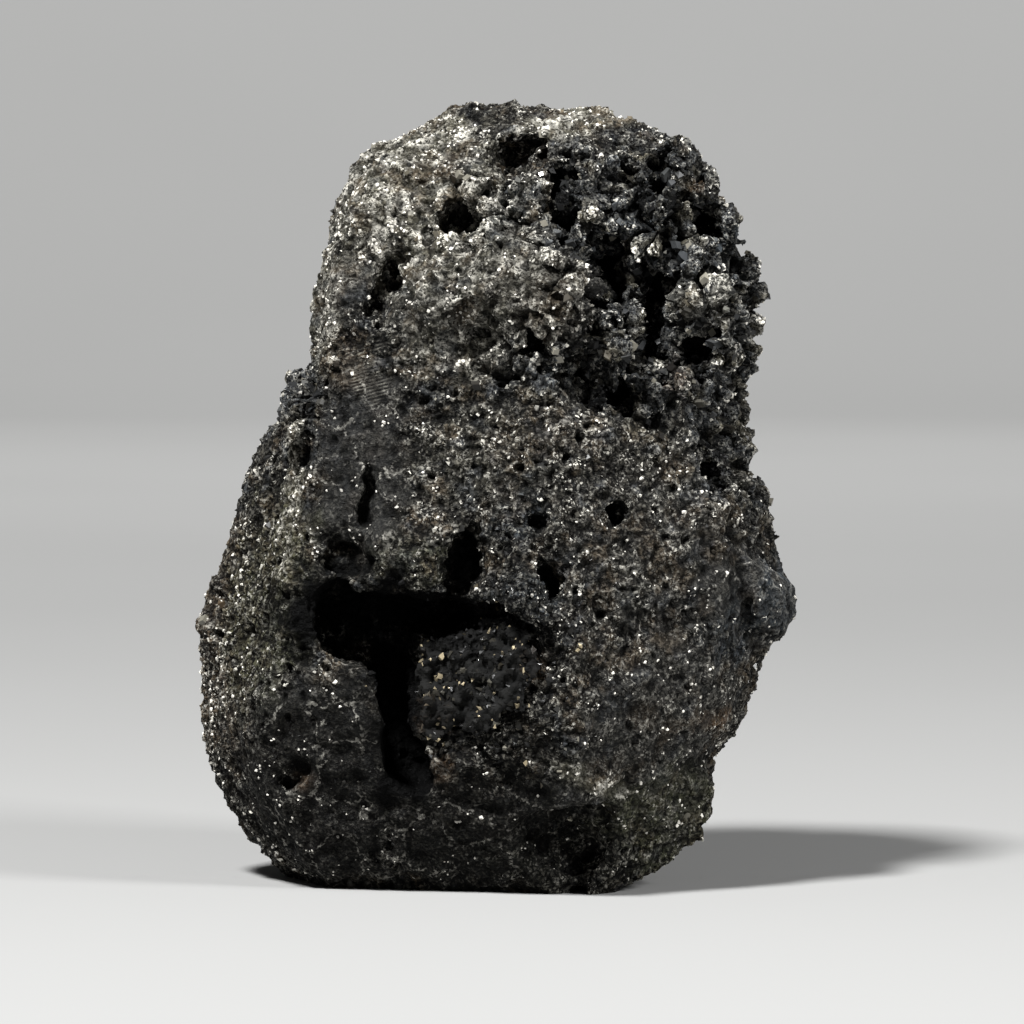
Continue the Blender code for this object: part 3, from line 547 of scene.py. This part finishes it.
# Patches that drift over the whole surface: their shift in the noise, their size in mm, its detail, and the
# values between which they rise.
Drift = namedtuple("Drift", "name shift size detail low high")
DRIFTS = (
    Drift("busy", 0.0, 7.0, 4.0, 0.40, 0.56),
    Drift("earthy", 40.0, 4.5, 4.0, 0.51, 0.58),
    Drift("slaty", 70.0, 3.4, 3.0, 0.55, 0.60),
    Drift("patchy", 100.0, 1.8, 3.0, 0.46, 0.58),
    Drift("clumps", 130.0, 2.4, 5.0, 0.53, 0.57),
    Drift("veined", 160.0, 4.0, 2.0, 0.44, 0.52),
)


def survey(piece):
    """Stores on the piece how strongly each finish shows at every point."""
    graph, geometry = geometry_graph("survey")
    place = graph.place_in_mm()
    wobble = (graph.noise(place, 5.0, 4.0, 0.6) - 0.5) * 1.9
    for name, patches in ZONES.items():
        geometry = store(graph, geometry, name, zone(graph, place, wobble, patches))
    for name, shift, size, detail, low, high in DRIFTS:
        shifted = graph.vector("ADD", place, (shift, 0.0, shift))
        geometry = store(graph, geometry, name, graph.noise(shifted, size, detail, 0.6).rising(low, high))
    apply_geometry(piece, graph, geometry)


def raise_relief(piece):
    """Lumps, knobs with gaps between them, pores, granules and grit. The foot is tucked under."""
    graph, geometry = geometry_graph("relief")
    place = graph.place_in_mm()
    height = graph.split(place).out("Z")
    smooth, crumbled, pitted = graph.stored("smooth"), graph.stored("crumbled"), graph.stored("pitted")
    warped = graph.vector("ADD", place, graph.scaled(graph.wander(place, 3.0), 2.0))
    upright = graph.vector("MULTIPLY", warped, (1.0, 1.0, 0.5))
    lumps = graph.noise(place, 7.0, 3.0) - 0.5
    folds = graph.noise(place, 2.4, 3.0, 0.6) - 0.5
    knobs = 0.40 - graph.cells(warped, 4.6)
    small_knobs = 0.40 - graph.cells(warped, 2.2)
    askew = {"Vector": warped, "Rotation": (0.3, 0.5, 0.2)}
    turned = graph.node("ShaderNodeVectorRotate", {"rotation_type": "EULER_XYZ"}, askew)
    blocks, chips = graph.blocks(turned, 3.4) - 0.5, graph.blocks(turned, 1.7) - 0.5
    gaps = graph.cells(warped, 4.6, "DISTANCE_TO_EDGE").rising(0.13, 0.02) * crumbled
    granules = 0.42 - graph.cells(warped, 1.15)
    grit = graph.noise(place, 0.9, 1.0) - 0.5
    from_pore = graph.cells(warped, 3.4)
    porous = graph.noise(place, 6.0, 2.0).rising(0.44, 0.60) * (1.0 - 0.85 * smooth)
    pores = from_pore.rising(0.27, 0.12) * porous
    slots = graph.cells(upright, 1.6).rising(0.36, 0.14) * pitted
    rise = lumps * (1.2 + 3.0 * crumbled)
    rise = rise + knobs * (0.3 + 2.0 * crumbled) + small_knobs * (0.2 + 0.9 * crumbled)
    rise = rise + blocks * (0.25 + 1.5 * crumbled - 0.2 * smooth)
    rise = rise + chips * (0.35 + 0.4 * crumbled - 0.3 * smooth)
    rise = rise + granules * (0.75 - 0.7 * smooth) + grit * (0.85 - 0.65 * smooth)
    rise = rise + folds * (0.9 + 0.4 * smooth) - gaps * 2.0 - pores * 1.4 - slots * 0.85
    # 'deep' marks gaps, pores, slots and the sunk places between knobs: the materials paint shade there.
    deep = gaps.larger(pores).larger(slots * 0.8)
    sunk = 0.0 - knobs * (0.2 + 0.6 * crumbled) - small_knobs * (0.2 + 0.5 * crumbled) - granules * 0.8
    sunk = (sunk - blocks * crumbled * 0.6).rising(-0.1, 0.5)
    geometry = store(graph, geometry, "deep", deep.larger(sunk * 0.8))
    rims = from_pore.rising(0.24, 0.30) * from_pore.rising(0.46, 0.34) * porous
    geometry = store(graph, geometry, "rims", rims)
    offset = graph.scaled(graph.node("GeometryNodeInputNormal"), rise * MM)
    on_foot = graph.maths("LESS_THAN", height, FOOT_HEIGHT)
    down = graph.node("ShaderNodeCombineXYZ", {}, {"Z": on_foot * (-FOOT_TUCK * MM)})
    offset = graph.vector("ADD", offset, down)
    apply_geometry(piece, graph, graph.moved(geometry, offset))


# What is read off the piece against itself smoothed over: how many rounds of smoothing, and the distances in
# millimetres between which it rises. A distance is into the piece, and for the edges out of it.
# The sunken places and the creases are where the materials paint shade.
Depth = namedtuple("Depth", "name rounds low high")
DEPTHS = (
    Depth("sunken", 160, 0.5, 2.6),
    Depth("creases", 14, 0.02, 0.18),
    Depth("edges", 12, 0.05, 0.36),
)


def find_hollows_and_edges(piece):
    """Stores where the piece is sunken and where it stands out, against itself smoothed over."""
    graph, geometry = geometry_graph("hollows")
    position, normal = graph.node("GeometryNodeInputPosition"), graph.node("GeometryNodeInputNormal")
    for name, rounds, low, high in DEPTHS:
        sockets = {"Value": position, "Iterations": rounds, "Weight": 1.0}
        even = graph.node("GeometryNodeBlurAttribute", {"data_type": "FLOAT_VECTOR"}, sockets)
        sockets = {0: graph.vector("SUBTRACT", even, position), 1: normal}
        off = graph.node("ShaderNodeVectorMath", {"operation": "DOT_PRODUCT"}, sockets, "Value")
        off = off * (-PER_MM if name == "edges" else PER_MM)
        geometry = store(graph, geometry, name, off.rising(low, high))
    apply_geometry(piece, graph, geometry)


def cut_foot_flat(piece):
    take(piece)
    bpy.ops.object.mode_set(mode="EDIT")
    bpy.ops.mesh.select_all(action="SELECT")
    bpy.ops.mesh.bisect(plane_co=(0, 0, 0), plane_no=(0, 0, 1), use_fill=True, clear_inner=True)
    bpy.ops.object.mode_set(mode="OBJECT")


def make_skin():
    """The crystal itself, with all of its relief that is coarser than a grain."""
    skin = copy_of_node("calcite_crystal", "crystal_skin")
    apply_modifier(skin, "REMESH", mode="VOXEL", voxel_size=FIRST_VOXEL * MM)
    shape_faces(skin)
    apply_modifier(skin, "REMESH", mode="VOXEL", voxel_size=SKIN_VOXEL * MM)
    apply_modifier(skin, "SMOOTH", factor=0.5, iterations=3)
    survey(skin)
    raise_relief(skin)
    apply_modifier(skin, "SMOOTH", factor=0.5, iterations=1)
    find_hollows_and_edges(skin)
    triangles = 2 * len(skin.data.polygons)
    apply_modifier(skin, "DECIMATE", ratio=min(1.0, SKIN_TRIANGLES / triangles))
    cut_foot_flat(skin)
    return skin


# ---------------------------------------------------------------- grains and crystals on the skin
# What one kind of grain is: how many to a square millimetre at most, how far apart they stay, their smallest
# and largest size, how far they tip over, and how deep they sit.
Kind = namedtuple("Kind", "per_mm2 apart small large tip_deg sunk")
FINE_GRAINS = Kind(0.55, 0.48, 0.40, 0.84, 70.0, 0.13)
SHARDS = Kind(1.15, 0.36, 0.36, 0.72, 70.0, 0.08)
GRIT = Kind(1.15, 0.34, 0.24, 0.50, 70.0, 0.05)
PALE_GRAINS = Kind(2.6, 0.34, 0.26, 0.62, 70.0, 0.05)
DARK_GRAINS = Kind(0.16, 1.2, 0.6, 1.2, 50.0, 0.25)
HOLLOW_TIPS = Kind(2.4, 0.45, 0.30, 1.00, 50.0, 0.10)
RIM_TIPS = Kind(1.2, 0.60, 0.30, 0.95, 50.0, 0.10)
COARSE_CRYSTALS = Kind(0.05, 2.0, 0.9, 1.6, 16.0, 0.60)


def scatter(skin, name, kind, shapes, share, seed):
    """A new piece: copies of the shapes strewn over the skin, half sunk in it."""
    take(skin)
    bpy.ops.object.duplicate()
    grains = bpy.context.active_object
    grains.name = name
    graph, geometry = geometry_graph(name)
    place = graph.place_in_mm()
    density = share(graph, place) * graph.split(place).out("Z").rising(0.7, 1.6)
    sockets = {
        "Mesh": geometry, "Distance Min": kind.apart * MM, "Density Max": kind.per_mm2 * 1e6,
        "Density Factor": density, "Seed": seed,
    }
    points = graph.node("GeometryNodeDistributePointsOnFaces", {"distribute_method": "POISSON"}, sockets)
    tip = math.radians(kind.tip_deg)
    spin = graph.chances((-tip, -tip, -math.pi), (tip, tip, math.pi), seed + 1, "FLOAT_VECTOR")
    spin = graph.node("FunctionNodeEulerToRotation", {}, {"Euler": spin})
    sockets = {"Rotation": points.out("Rotation"), "Rotate By": spin}
    turn = graph.node("FunctionNodeRotateRotation", {"rotation_space": "LOCAL"}, sockets)
    chance = graph.chances(0.0, 1.0, seed + 2)
    size = chance * chance * (kind.large - kind.small) + kind.small
    kinds = []
    for shape in shapes:
        sockets = {"Object": shape, "As Instance": True}
        kinds.append(graph.node("GeometryNodeObjectInfo", {}, sockets, "Geometry"))
    sockets = {
        "Points": graph.moved(points, graph.scaled(points.out("Normal"), -kind.sunk * MM)),
        "Instance": graph.node("GeometryNodeJoinGeometry", {}, {"Geometry": kinds}),
        "Pick Instance": True,
        "Instance Index": graph.chances(0, len(shapes) - 1, seed + 3, "INT"),
        "Rotation": turn,
        "Scale": size,
    }
    placed = graph.node("GeometryNodeInstanceOnPoints", {}, sockets)
    placed = store(graph, placed, "tone", graph.chances(0.0, 1.0, seed + 4), "INSTANCE")
    apply_geometry(grains, graph, graph.node("GeometryNodeRealizeInstances", {}, {"Geometry": placed}))
    return grains


def none_in_cave(graph):
    """What is taken off a share, so that no grain sits on the walls of the cave, which are painted in shade.
    """
    return 2.0 * graph.stored("cave")


def everywhere(graph, place):
    patchy = graph.noise(place, 5.0, 3.0).rising(0.36, 0.6)
    return (0.25 + 0.75 * patchy) * (1.0 - 0.97 * graph.stored("smooth")) - none_in_cave(graph)


def where_gritty(graph, place):
    patchy = graph.noise(place, 3.4, 4.0).rising(0.38, 0.6)
    return (0.2 + 0.8 * patchy) * (1.0 - 0.93 * graph.stored("smooth")) - none_in_cave(graph)


def where_coarser(graph, place):
    patchy = graph.noise(place, 4.0, 4.0).rising(0.5, 0.7)
    share = 0.05 + 0.6 * patchy + 0.4 * graph.stored("crumbled") - 0.9 * graph.stored("smooth")
    return share - none_in_cave(graph)


def where_frosted(graph, place):
    clumps = graph.noise(place, 2.6, 4.0, 0.65).rising(0.5, 0.64)
    frost, smooth, charcoal = graph.stored("frost"), graph.stored("smooth"), graph.stored("charcoal")
    frosted = frost + 0.8 * graph.stored("cream")
    warp = graph.scaled(graph.noise(place, 2.0, 3.0).out("Color"), 2.2)
    edge = graph.cells(graph.vector("ADD", place, warp), 10.0, "DISTANCE_TO_EDGE")
    veins = edge.rising(0.045, 0.02) * graph.noise(place, 4.0, 2.0).rising(0.46, 0.54)
    share = 0.015 + 0.10 * clumps * (1.0 - charcoal) + frosted * (0.06 + 0.80 * clumps)
    share = share + (0.04 + 0.16 * clumps) * smooth * (1.0 - frost)
    share = share + 0.5 * veins + 0.45 * graph.stored("rims") + 0.07 * charcoal * smooth
    return share - none_in_cave(graph) - graph.stored("deep") * 0.5


def where_crumbled(graph, place):
    return graph.stored("crumbled").rising(0.3, 0.9) * graph.noise(place, 5.0, 3.0).rising(0.45, 0.6)


# ---------------------------------------------------------------- finishes
# The first two blacks are painted shade, in the cave and in cracks, creases, sunken places and pits. The
# sooty black is the crust's own black tone, and painted shade too in the Charcoal patches and the hollow.
CAVE_SHADE_BLACK = (0.001, 0.001, 0.001)
SHADE_BLACK = (0.002, 0.002, 0.002)
SOOT_AND_SHADE = (0.0055, 0.0055, 0.005)
CHARCOAL_GREY = (0.020, 0.0198, 0.0180)
DARK_GREY = (0.042, 0.0396, 0.0335)
SLATE = (0.046, 0.0462, 0.0455)
EARTH = (0.076, 0.057, 0.036)
OLIVE_GREY = (0.128, 0.120, 0.088)
TAN = (0.165, 0.135, 0.092)
BLUE_GREY = (0.072, 0.080, 0.090)
MID_GREY = (0.236, 0.222, 0.182)
FROSTED = (0.84, 0.81, 0.72)
SUGAR_WHITE = (0.92, 0.89, 0.80)
CLEAR_WHITE = (1.0, 0.96, 0.87)
HONEY = (0.62, 0.52, 0.34)
STRIA_GREY = (0.34, 0.325, 0.275)
KNOB_BLUE = (0.098, 0.106, 0.114)
KNOB_OLIVE = (0.150, 0.141, 0.106)
BROWN_STAIN = (0.110, 0.076, 0.044)
OLIVE_STAIN = (0.074, 0.077, 0.042)
BLUE_STAIN = (0.054, 0.072, 0.090)
RUST_STAIN = (0.180, 0.100, 0.042)


def new_material(name):
    material = bpy.data.materials.new(name)
    material.use_nodes = True
    material.node_tree.nodes.clear()
    graph = Graph(material.node_tree)
    place = graph.scaled(graph.node("ShaderNodeTexCoord", {}, {}, "Object"), PER_MM)
    return material, graph, place


def finish_material(graph, colour, roughness, normal, shine=0.5):
    sockets = {"Base Color": colour, "Roughness": roughness, "Specular IOR Level": shine}
    if normal:
        sockets["Normal"] = normal
    shader = graph.node("ShaderNodeBsdfPrincipled", {}, sockets)
    graph.node("ShaderNodeOutputMaterial", {}, {"Surface": shader})


def tinted(graph, colour, strength):
    """The stains that lie over everything, from the zones stored on the mesh."""
    colour = graph.mixed(graph.stored("brown") * strength * 0.80, colour, BROWN_STAIN)
    colour = graph.mixed(graph.stored("olive") * strength * 0.85, colour, OLIVE_STAIN)
    colour = graph.mixed(graph.stored("blue") * strength * 0.75, colour, BLUE_STAIN)
    return graph.mixed(graph.stored("rust") * strength * 0.80, colour, RUST_STAIN)


def ground(graph):
    """The crust's colour in patches of earth, slate and frost, with sooty black that is partly painted shade
    in the Charcoal patches, and how even it is.
    """
    smooth, frost, crumbled = graph.stored("smooth"), graph.stored("frost"), graph.stored("crumbled")
    earthy, slaty, patchy = graph.stored("earthy"), graph.stored("slaty"), graph.stored("patchy")
    colour = graph.mixed(graph.stored("busy"), CHARCOAL_GREY, DARK_GREY)
    colour = graph.mixed(earthy * 0.9, colour, EARTH)
    colour = graph.mixed(crumbled * 0.85, colour, graph.mixed(earthy, KNOB_BLUE, KNOB_OLIVE))
    colour = graph.mixed(frost * 0.9, colour, graph.mixed(earthy, OLIVE_GREY, TAN))
    colour = graph.mixed(slaty * (0.6 - 0.15 * frost), colour, BLUE_GREY)
    colour = graph.mixed(smooth * (0.75 - 0.6 * frost), colour, SLATE)
    colour = tinted(graph, colour, 0.4 + 0.6 * patchy)
    # Painted shade as well as black tone: the Charcoal patches turn the ground sooty black.
    colour = graph.mixed(graph.stored("charcoal") * (0.9 - 0.7 * graph.stored("rust")), colour, SOOT_AND_SHADE)
    return colour, smooth.larger(slaty * 0.7)


def frost_clumps(graph):
    """Where the frost lies thick."""
    return graph.stored("frost").rising(0.2, 0.7) * graph.stored("clumps")


def crust(graph, place):
    """The colour of the bare crust: its ground, mottled, with pale specks that are partly painted glints,
    threads and frost.
    """
    frost, charcoal, edges = graph.stored("frost"), graph.stored("charcoal"), graph.stored("edges")
    busy, patchy = graph.stored("busy"), graph.stored("patchy")
    colour, even = ground(graph)
    fine = graph.noise(place, 0.45, 2.0, 0.65)
    facet = graph.cells(graph.vector("ADD", place, graph.scaled(fine.out("Color"), 0.25)), 0.38)
    chance = graph.node("ShaderNodeSeparateColor", {}, {"Color": facet.out("Color")}, "Red")
    colour = graph.mixed(fine.rising(0.60, 0.34) * (0.65 - 0.35 * even), colour, SOOT_AND_SHADE)
    colour = graph.mixed(fine.rising(0.50, 0.66) * (0.28 - 0.2 * even), colour, MID_GREY)
    along = graph.split(place)
    lines = (along.out("Z") * 0.97 - along.out("X") * 0.26) * 1.9 + busy * 0.5
    lines = graph.node("ShaderNodeMath", {"operation": "FRACT"}, {0: lines}).rising(0.45, 0.8)
    colour = graph.mixed(lines * graph.stored("striated") * (0.15 + 0.55 * patchy), colour, STRIA_GREY)
    threads = graph.noise(place, 1.25, 2.0) - 0.5
    threads = (threads * threads).rising(0.0006, 0.00015) * patchy * busy
    threads = threads * (1.0 - even) * fine.rising(0.42, 0.50)
    bent = graph.vector("ADD", place, graph.scaled(graph.noise(place, 2.2, 3.0, 0.6).out("Color"), 3.4))
    veins = graph.cells(bent, 7.5, "DISTANCE_TO_EDGE").rising(0.035, 0.015) * graph.stored("veined")
    veins = veins * chance.rising(0.25, 0.6) * (0.25 + 0.45 * charcoal * graph.stored("smooth"))
    # Scattered pale specks: pale grains, and painted glints as well.
    speck_and_glint = chance.rising(0.90, 0.92) * (0.05 + 0.8 * patchy * busy.larger(0.25)) * (1.0 - 0.7 * even)
    pale = frost_clumps(graph) * fine.rising(0.42, 0.50) * 0.8
    pale = pale.larger(speck_and_glint).larger(threads * 0.8).larger(veins)
    pale = pale.larger(graph.stored("rims") * chance.rising(0.45, 0.7) * 0.7)
    pale = pale.larger(graph.stored("cream") * chance.rising(0.6, 0.9) * 0.5)
    pale = pale + edges * fine.rising(0.48, 0.58) * (0.08 + 0.30 * frost + 0.15 * graph.stored("crumbled"))
    colour = graph.mixed(pale.smaller(1.0) * (0.95 - 0.45 * charcoal), colour, FROSTED)
    return colour, chance, fine


def with_painted_shade(graph, colour, deep):
    """The colour turned black by painted shade where it lies in a crack, a crease, a sunken place, a hollow
    or the cave.
    """
    colour = graph.mixed(deep * 0.92, colour, SHADE_BLACK)
    colour = graph.mixed(graph.stored("creases") * (0.8 - 0.4 * graph.stored("frost")), colour, SHADE_BLACK)
    colour = graph.mixed(graph.stored("sunken") * (0.8 - 0.55 * graph.stored("crumbled")), colour, SHADE_BLACK)
    return graph.mixed(graph.stored("cave"), colour, CAVE_SHADE_BLACK)


def skin_material():
    material, graph, place = new_material("black_calcite_skin")
    smooth = graph.stored("smooth")
    colour, chance, fine = crust(graph, place)
    open_pored = 1.0 - 0.5 * smooth.larger(graph.stored("frost"))
    pits = graph.noise(place, 0.7, 2.0, 0.6).rising(0.485, 0.42) * open_pored
    pinholes = graph.cells(place, 1.05).rising(0.34, 0.24) * (0.3 + 0.7 * graph.stored("patchy"))
    # Painted shade: pits, pinholes and the deep places are coloured black, as well as cracks, creases and the
    # cave.
    colour = with_painted_shade(graph, colour, graph.stored("deep").larger(pits).larger(pinholes))
    roughness = 0.75 - 0.30 * chance.rising(0.7, 1.0)
    height = chance * 0.35 * (1.0 - 0.75 * smooth) + fine * 0.8 - pits * 0.8
    normal = graph.node("ShaderNodeBump", {}, {"Strength": 1.0, "Distance": 0.42 * MM, "Height": height})
    finish_material(graph, colour, roughness, normal, shine=0.06)
    return material


def worn_normal(graph, place):
    """The fine unevenness of a crystal's faces."""
    worn = graph.noise(place, 0.5, 3.0, 0.6)
    return graph.node("ShaderNodeBump", {}, {"Strength": 0.5, "Distance": 0.15 * MM, "Height": worn})


def grain_material(name, pale_colour, pale_share, gloss, shine=0.15, soot_and_shade=0.0, sparkle=0.30, large=False):
    """Grains that take after the ground they sit on, each in its own tone, and the palest few in frost; some
    of those pale ones are painted glints.
    """
    material, graph, place = new_material(name)
    tone = graph.stored("tone")
    colour, even = ground(graph)
    colour = graph.mixed(tone.rising(0.45, 0.10) * 0.85, colour, SOOT_AND_SHADE)
    colour = graph.mixed(tone.rising(0.45, 0.95) * (0.34 - 0.24 * even), colour, MID_GREY)
    # Painted shade as well as a sooty tone: most grains turn near-black, for the crystals in the hollow.
    if soot_and_shade:
        colour = graph.mixed(tone.rising(1.0, 0.7) * soot_and_shade, colour, SOOT_AND_SHADE)
    # The pale share: frost and pale grains, and through the sparkle share painted glints as well.
    likely = sparkle * graph.stored("patchy") * graph.stored("busy") + 0.55 * frost_clumps(graph)
    likely = likely + 0.12 * graph.stored("edges") + 0.3 * graph.stored("rims") + 0.3 * graph.stored("cream")
    likely = likely * (1.0 - 0.5 * even) * (1.0 - 0.55 * graph.stored("charcoal")) + pale_share
    pale = (tone + likely).rising(1.0, 1.03)
    colour = graph.mixed(pale * 0.95, colour, pale_colour)
    colour = with_painted_shade(graph, colour, graph.stored("deep") * 0.9)
    roughness = gloss + 0.30 * tone.rising(1.0, 0.4) + 0.45 * tone.rising(0.15, 0.0)
    finish_material(graph, colour, roughness, worn_normal(graph, place) if large else None, shine)
    return material


# ---------------------------------------------------------------- the druse in the hollow
def in_clusters(graph, place):
    return 0.25 + 0.75 * graph.noise(place, 3.0).rising(0.3, 0.6)


def round_the_hollow(graph, place):
    return graph.stored("druse").rising(0.25, 0.8) * in_clusters(graph, place) * 0.6


def make_hollow_crystals(skin, shapes):
    """The crust of small crystals on the slope in the hollow, which spreads over the hollow's rim."""
    hollow = copy_of_node("hollow_druse", "hollow_crystals")
    apply_modifier(hollow, "REMESH", mode="VOXEL", voxel_size=HOLLOW_VOXEL * MM)
    survey(hollow)
    graph, geometry = geometry_graph("crust relief")
    place = graph.place_in_mm()
    knobs = (0.4 - graph.cells(place, 2.6)) * 1.5
    rise = (0.4 - graph.cells(place, 1.2)) * 0.8 + knobs + 0.3
    # 'deep' marks the hollows between the crust's knobs, where the material paints shade.
    geometry = store(graph, geometry, "deep", (0.0 - knobs).rising(-0.1, 0.5) * 0.9)
    offset = graph.scaled(graph.node("GeometryNodeInputNormal"), rise * MM)
    apply_geometry(hollow, graph, graph.moved(geometry, offset))
    tips = scatter(hollow, "tips", HOLLOW_TIPS, shapes, in_clusters, 50)
    rim = scatter(skin, "rim_tips", RIM_TIPS, shapes, round_the_hollow, 60)
    take(hollow)
    tips.select_set(True)
    rim.select_set(True)
    bpy.ops.object.join()
    return hollow


# ---------------------------------------------------------------- light, floor and camera
# In metres and watts.
OBJECT_MIDDLE = (0.0, 0.0, 0.06)
Light = namedtuple("Light", "name place aim width height watts")
LIGHTS = (
    Light("key", (-0.38, -0.46, 1.08), OBJECT_MIDDLE, 0.17, 0.17, 32.0),
    Light("side", (0.72, -0.44, 0.56), OBJECT_MIDDLE, 0.24, 0.24, 9.0),
    Light("backdrop", (0.0, 1.0, 1.2), (0.0, 2.2, 0.2), 1.2, 0.4, 26.0),
)
SKY_COLOUR = (0.95, 0.97, 1.0)
SKY_STRENGTH = 0.036
FLOOR_RADIUS = 1.6
FLOOR_SIDES = 180
FLOOR_GREYS = ((0.30, 0.30, 0.296), (0.32, 0.32, 0.316))
WALL_CURVE = 0.7
WALL_STEPS = 14
CAMERA_TARGET = (0.00245, 0.0, 0.0563)
CAMERA_DISTANCE = 0.9
CAMERA_ELEVATION_DEG = 3.5
VIEW_WIDTH = 0.15677
SENSOR_WIDTH_MM = 36.0


def add_light(light):
    deselect_all()
    bpy.ops.object.light_add(type="AREA", location=light.place)
    lamp = bpy.context.active_object
    lamp.name = light.name
    lamp.data.shape = "RECTANGLE"
    lamp.data.size, lamp.data.size_y = light.width, light.height
    lamp.data.energy = light.watts
    lamp.rotation_euler = (Vector(light.aim) - Vector(light.place)).to_track_quat("-Z", "Y").to_euler()


def make_floor():
    """A round pale floor whose rim curves up into a plain wall all round."""
    deselect_all()
    bpy.ops.mesh.primitive_circle_add(vertices=FLOOR_SIDES, radius=FLOOR_RADIUS, fill_type="NOTHING")
    floor = bpy.context.active_object
    floor.name = "floor"
    bpy.ops.object.mode_set(mode="EDIT")
    bpy.ops.mesh.select_all(action="SELECT")
    reached, height = FLOOR_RADIUS, 0.0
    for step in range(1, WALL_STEPS + 1):
        turn = step / WALL_STEPS * math.pi / 2
        radius = FLOOR_RADIUS + WALL_CURVE * math.sin(turn)
        rise = WALL_CURVE * (1.0 - math.cos(turn)) - height
        bpy.ops.mesh.extrude_region_move(TRANSFORM_OT_translate={"value": (0, 0, rise)})
        bpy.ops.transform.resize(value=(radius / reached, radius / reached, 1.0))
        reached, height = radius, height + rise
    bpy.ops.object.mode_set(mode="OBJECT")
    for vertex in floor.data.vertices:
        vertex.select = vertex.co.z < 0.0001
    for edge in floor.data.edges:
        edge.select = all(floor.data.vertices[i].select for i in edge.vertices)
    bpy.ops.object.mode_set(mode="EDIT")
    bpy.ops.mesh.edge_face_add()
    bpy.ops.mesh.select_all(action="SELECT")
    bpy.ops.mesh.normals_make_consistent(inside=True)
    bpy.ops.object.mode_set(mode="OBJECT")
    bpy.ops.object.shade_smooth_by_angle(angle=math.radians(20.0))
    material, graph, place = new_material("pale_floor")
    colour = graph.mixed(graph.noise(place, 240.0, 1.0), *FLOOR_GREYS)
    finish_material(graph, colour, 0.9, None, shine=0.0)
    floor.data.materials.append(material)


def make_world():
    world = bpy.data.worlds.new("studio")
    bpy.context.scene.world = world
    world.use_nodes = True
    world.node_tree.nodes["Background"].inputs["Color"].default_value = (*SKY_COLOUR, 1.0)
    world.node_tree.nodes["Background"].inputs["Strength"].default_value = SKY_STRENGTH


def make_camera():
    elevation = math.radians(CAMERA_ELEVATION_DEG)
    back = Vector((0.0, -math.cos(elevation), math.sin(elevation)))
    bpy.ops.object.camera_add(location=Vector(CAMERA_TARGET) + back * CAMERA_DISTANCE)
    camera = bpy.context.active_object
    camera.name = "camera"
    camera.rotation_euler = (-back).to_track_quat("-Z", "Y").to_euler()
    camera.data.lens = SENSOR_WIDTH_MM * CAMERA_DISTANCE / VIEW_WIDTH
    camera.data.clip_start = 0.01
    bpy.context.scene.camera = camera


def dress(piece, material, slot, *nodes):
    piece.data.materials.clear()
    piece.data.materials.append(material)
    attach(piece, "root")
    if nodes:
        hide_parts(*nodes)


def main():
    rhomb, chip, tooth = cleavage_rhomb(0.05, 1), cleavage_rhomb(0.24, 2), crystal_tooth()
    block, rubble = cleavage_rhomb(0.10, 3, 1), cleavage_rhomb(0.14, 4, 1)
    round_grain, sharp_grain, flat_grain = granule(0.16, 1), granule(0.30, 2), granule(0.24, 3)
    grains = (round_grain, sharp_grain, flat_grain)
    splinters = (shard(0.16, 1), shard(0.26, 2), shard(0.34, 3))
    skin = make_skin()
    fine = scatter(skin, "fine_grains", FINE_GRAINS, grains, everywhere, 1)
    shards = scatter(skin, "shards", SHARDS, splinters, where_gritty, 71)
    grit = scatter(skin, "grit", GRIT, splinters, where_gritty, 41)
    dark = scatter(skin, "dark_grains", DARK_GRAINS, (chip, rhomb), where_coarser, 11)
    pale = scatter(skin, "pale_grains", PALE_GRAINS, grains, where_frosted, 21)
    coarse = scatter(skin, "coarse_crystals", COARSE_CRYSTALS, (rubble, block), where_crumbled, 31)
    hollow = make_hollow_crystals(skin, (chip, tooth, sharp_grain))
    for helper in (rhomb, chip, block, rubble, tooth, *grains, *splinters):
        bpy.data.objects.remove(helper)
    dress(skin, skin_material(), "black_calcite", "calcite_crystal")
    dress(fine, grain_material("fine_grain", FROSTED, 0.01, 0.5, sparkle=0.12), "black_calcite")
    dress(shards, grain_material("shard", FROSTED, 0.03, 0.28, 0.3, sparkle=0.24), "black_calcite")
    dress(grit, grain_material("grit", SUGAR_WHITE, 0.06, 0.28, 0.3, sparkle=0.50), "black_calcite")
    dress(dark, grain_material("dark_grain", MID_GREY, 0.05, 0.15, 0.4), "black_calcite")
    dress(pale, grain_material("pale_grain", CLEAR_WHITE, 0.55, 0.35), "black_calcite")
    dress(coarse, grain_material("coarse_crystal", MID_GREY, 0.1, 0.45, large=True), "black_calcite")
    # The hollow's crystals: near-black for painted shade besides their sooty tone, and a few honey ones that
    # are painted golden glints as well as pale crystals.
    hollow_finish = grain_material("hollow_crystal", HONEY, 0.04, 0.10, 0.2, soot_and_shade=0.9, large=True)
    dress(hollow, hollow_finish, "grey_druse", "hollow_druse")
    make_floor()
    make_world()
    for light in LIGHTS:
        add_light(light)
    make_camera()
    bpy.context.scene.view_settings.view_transform = "Standard"


main()
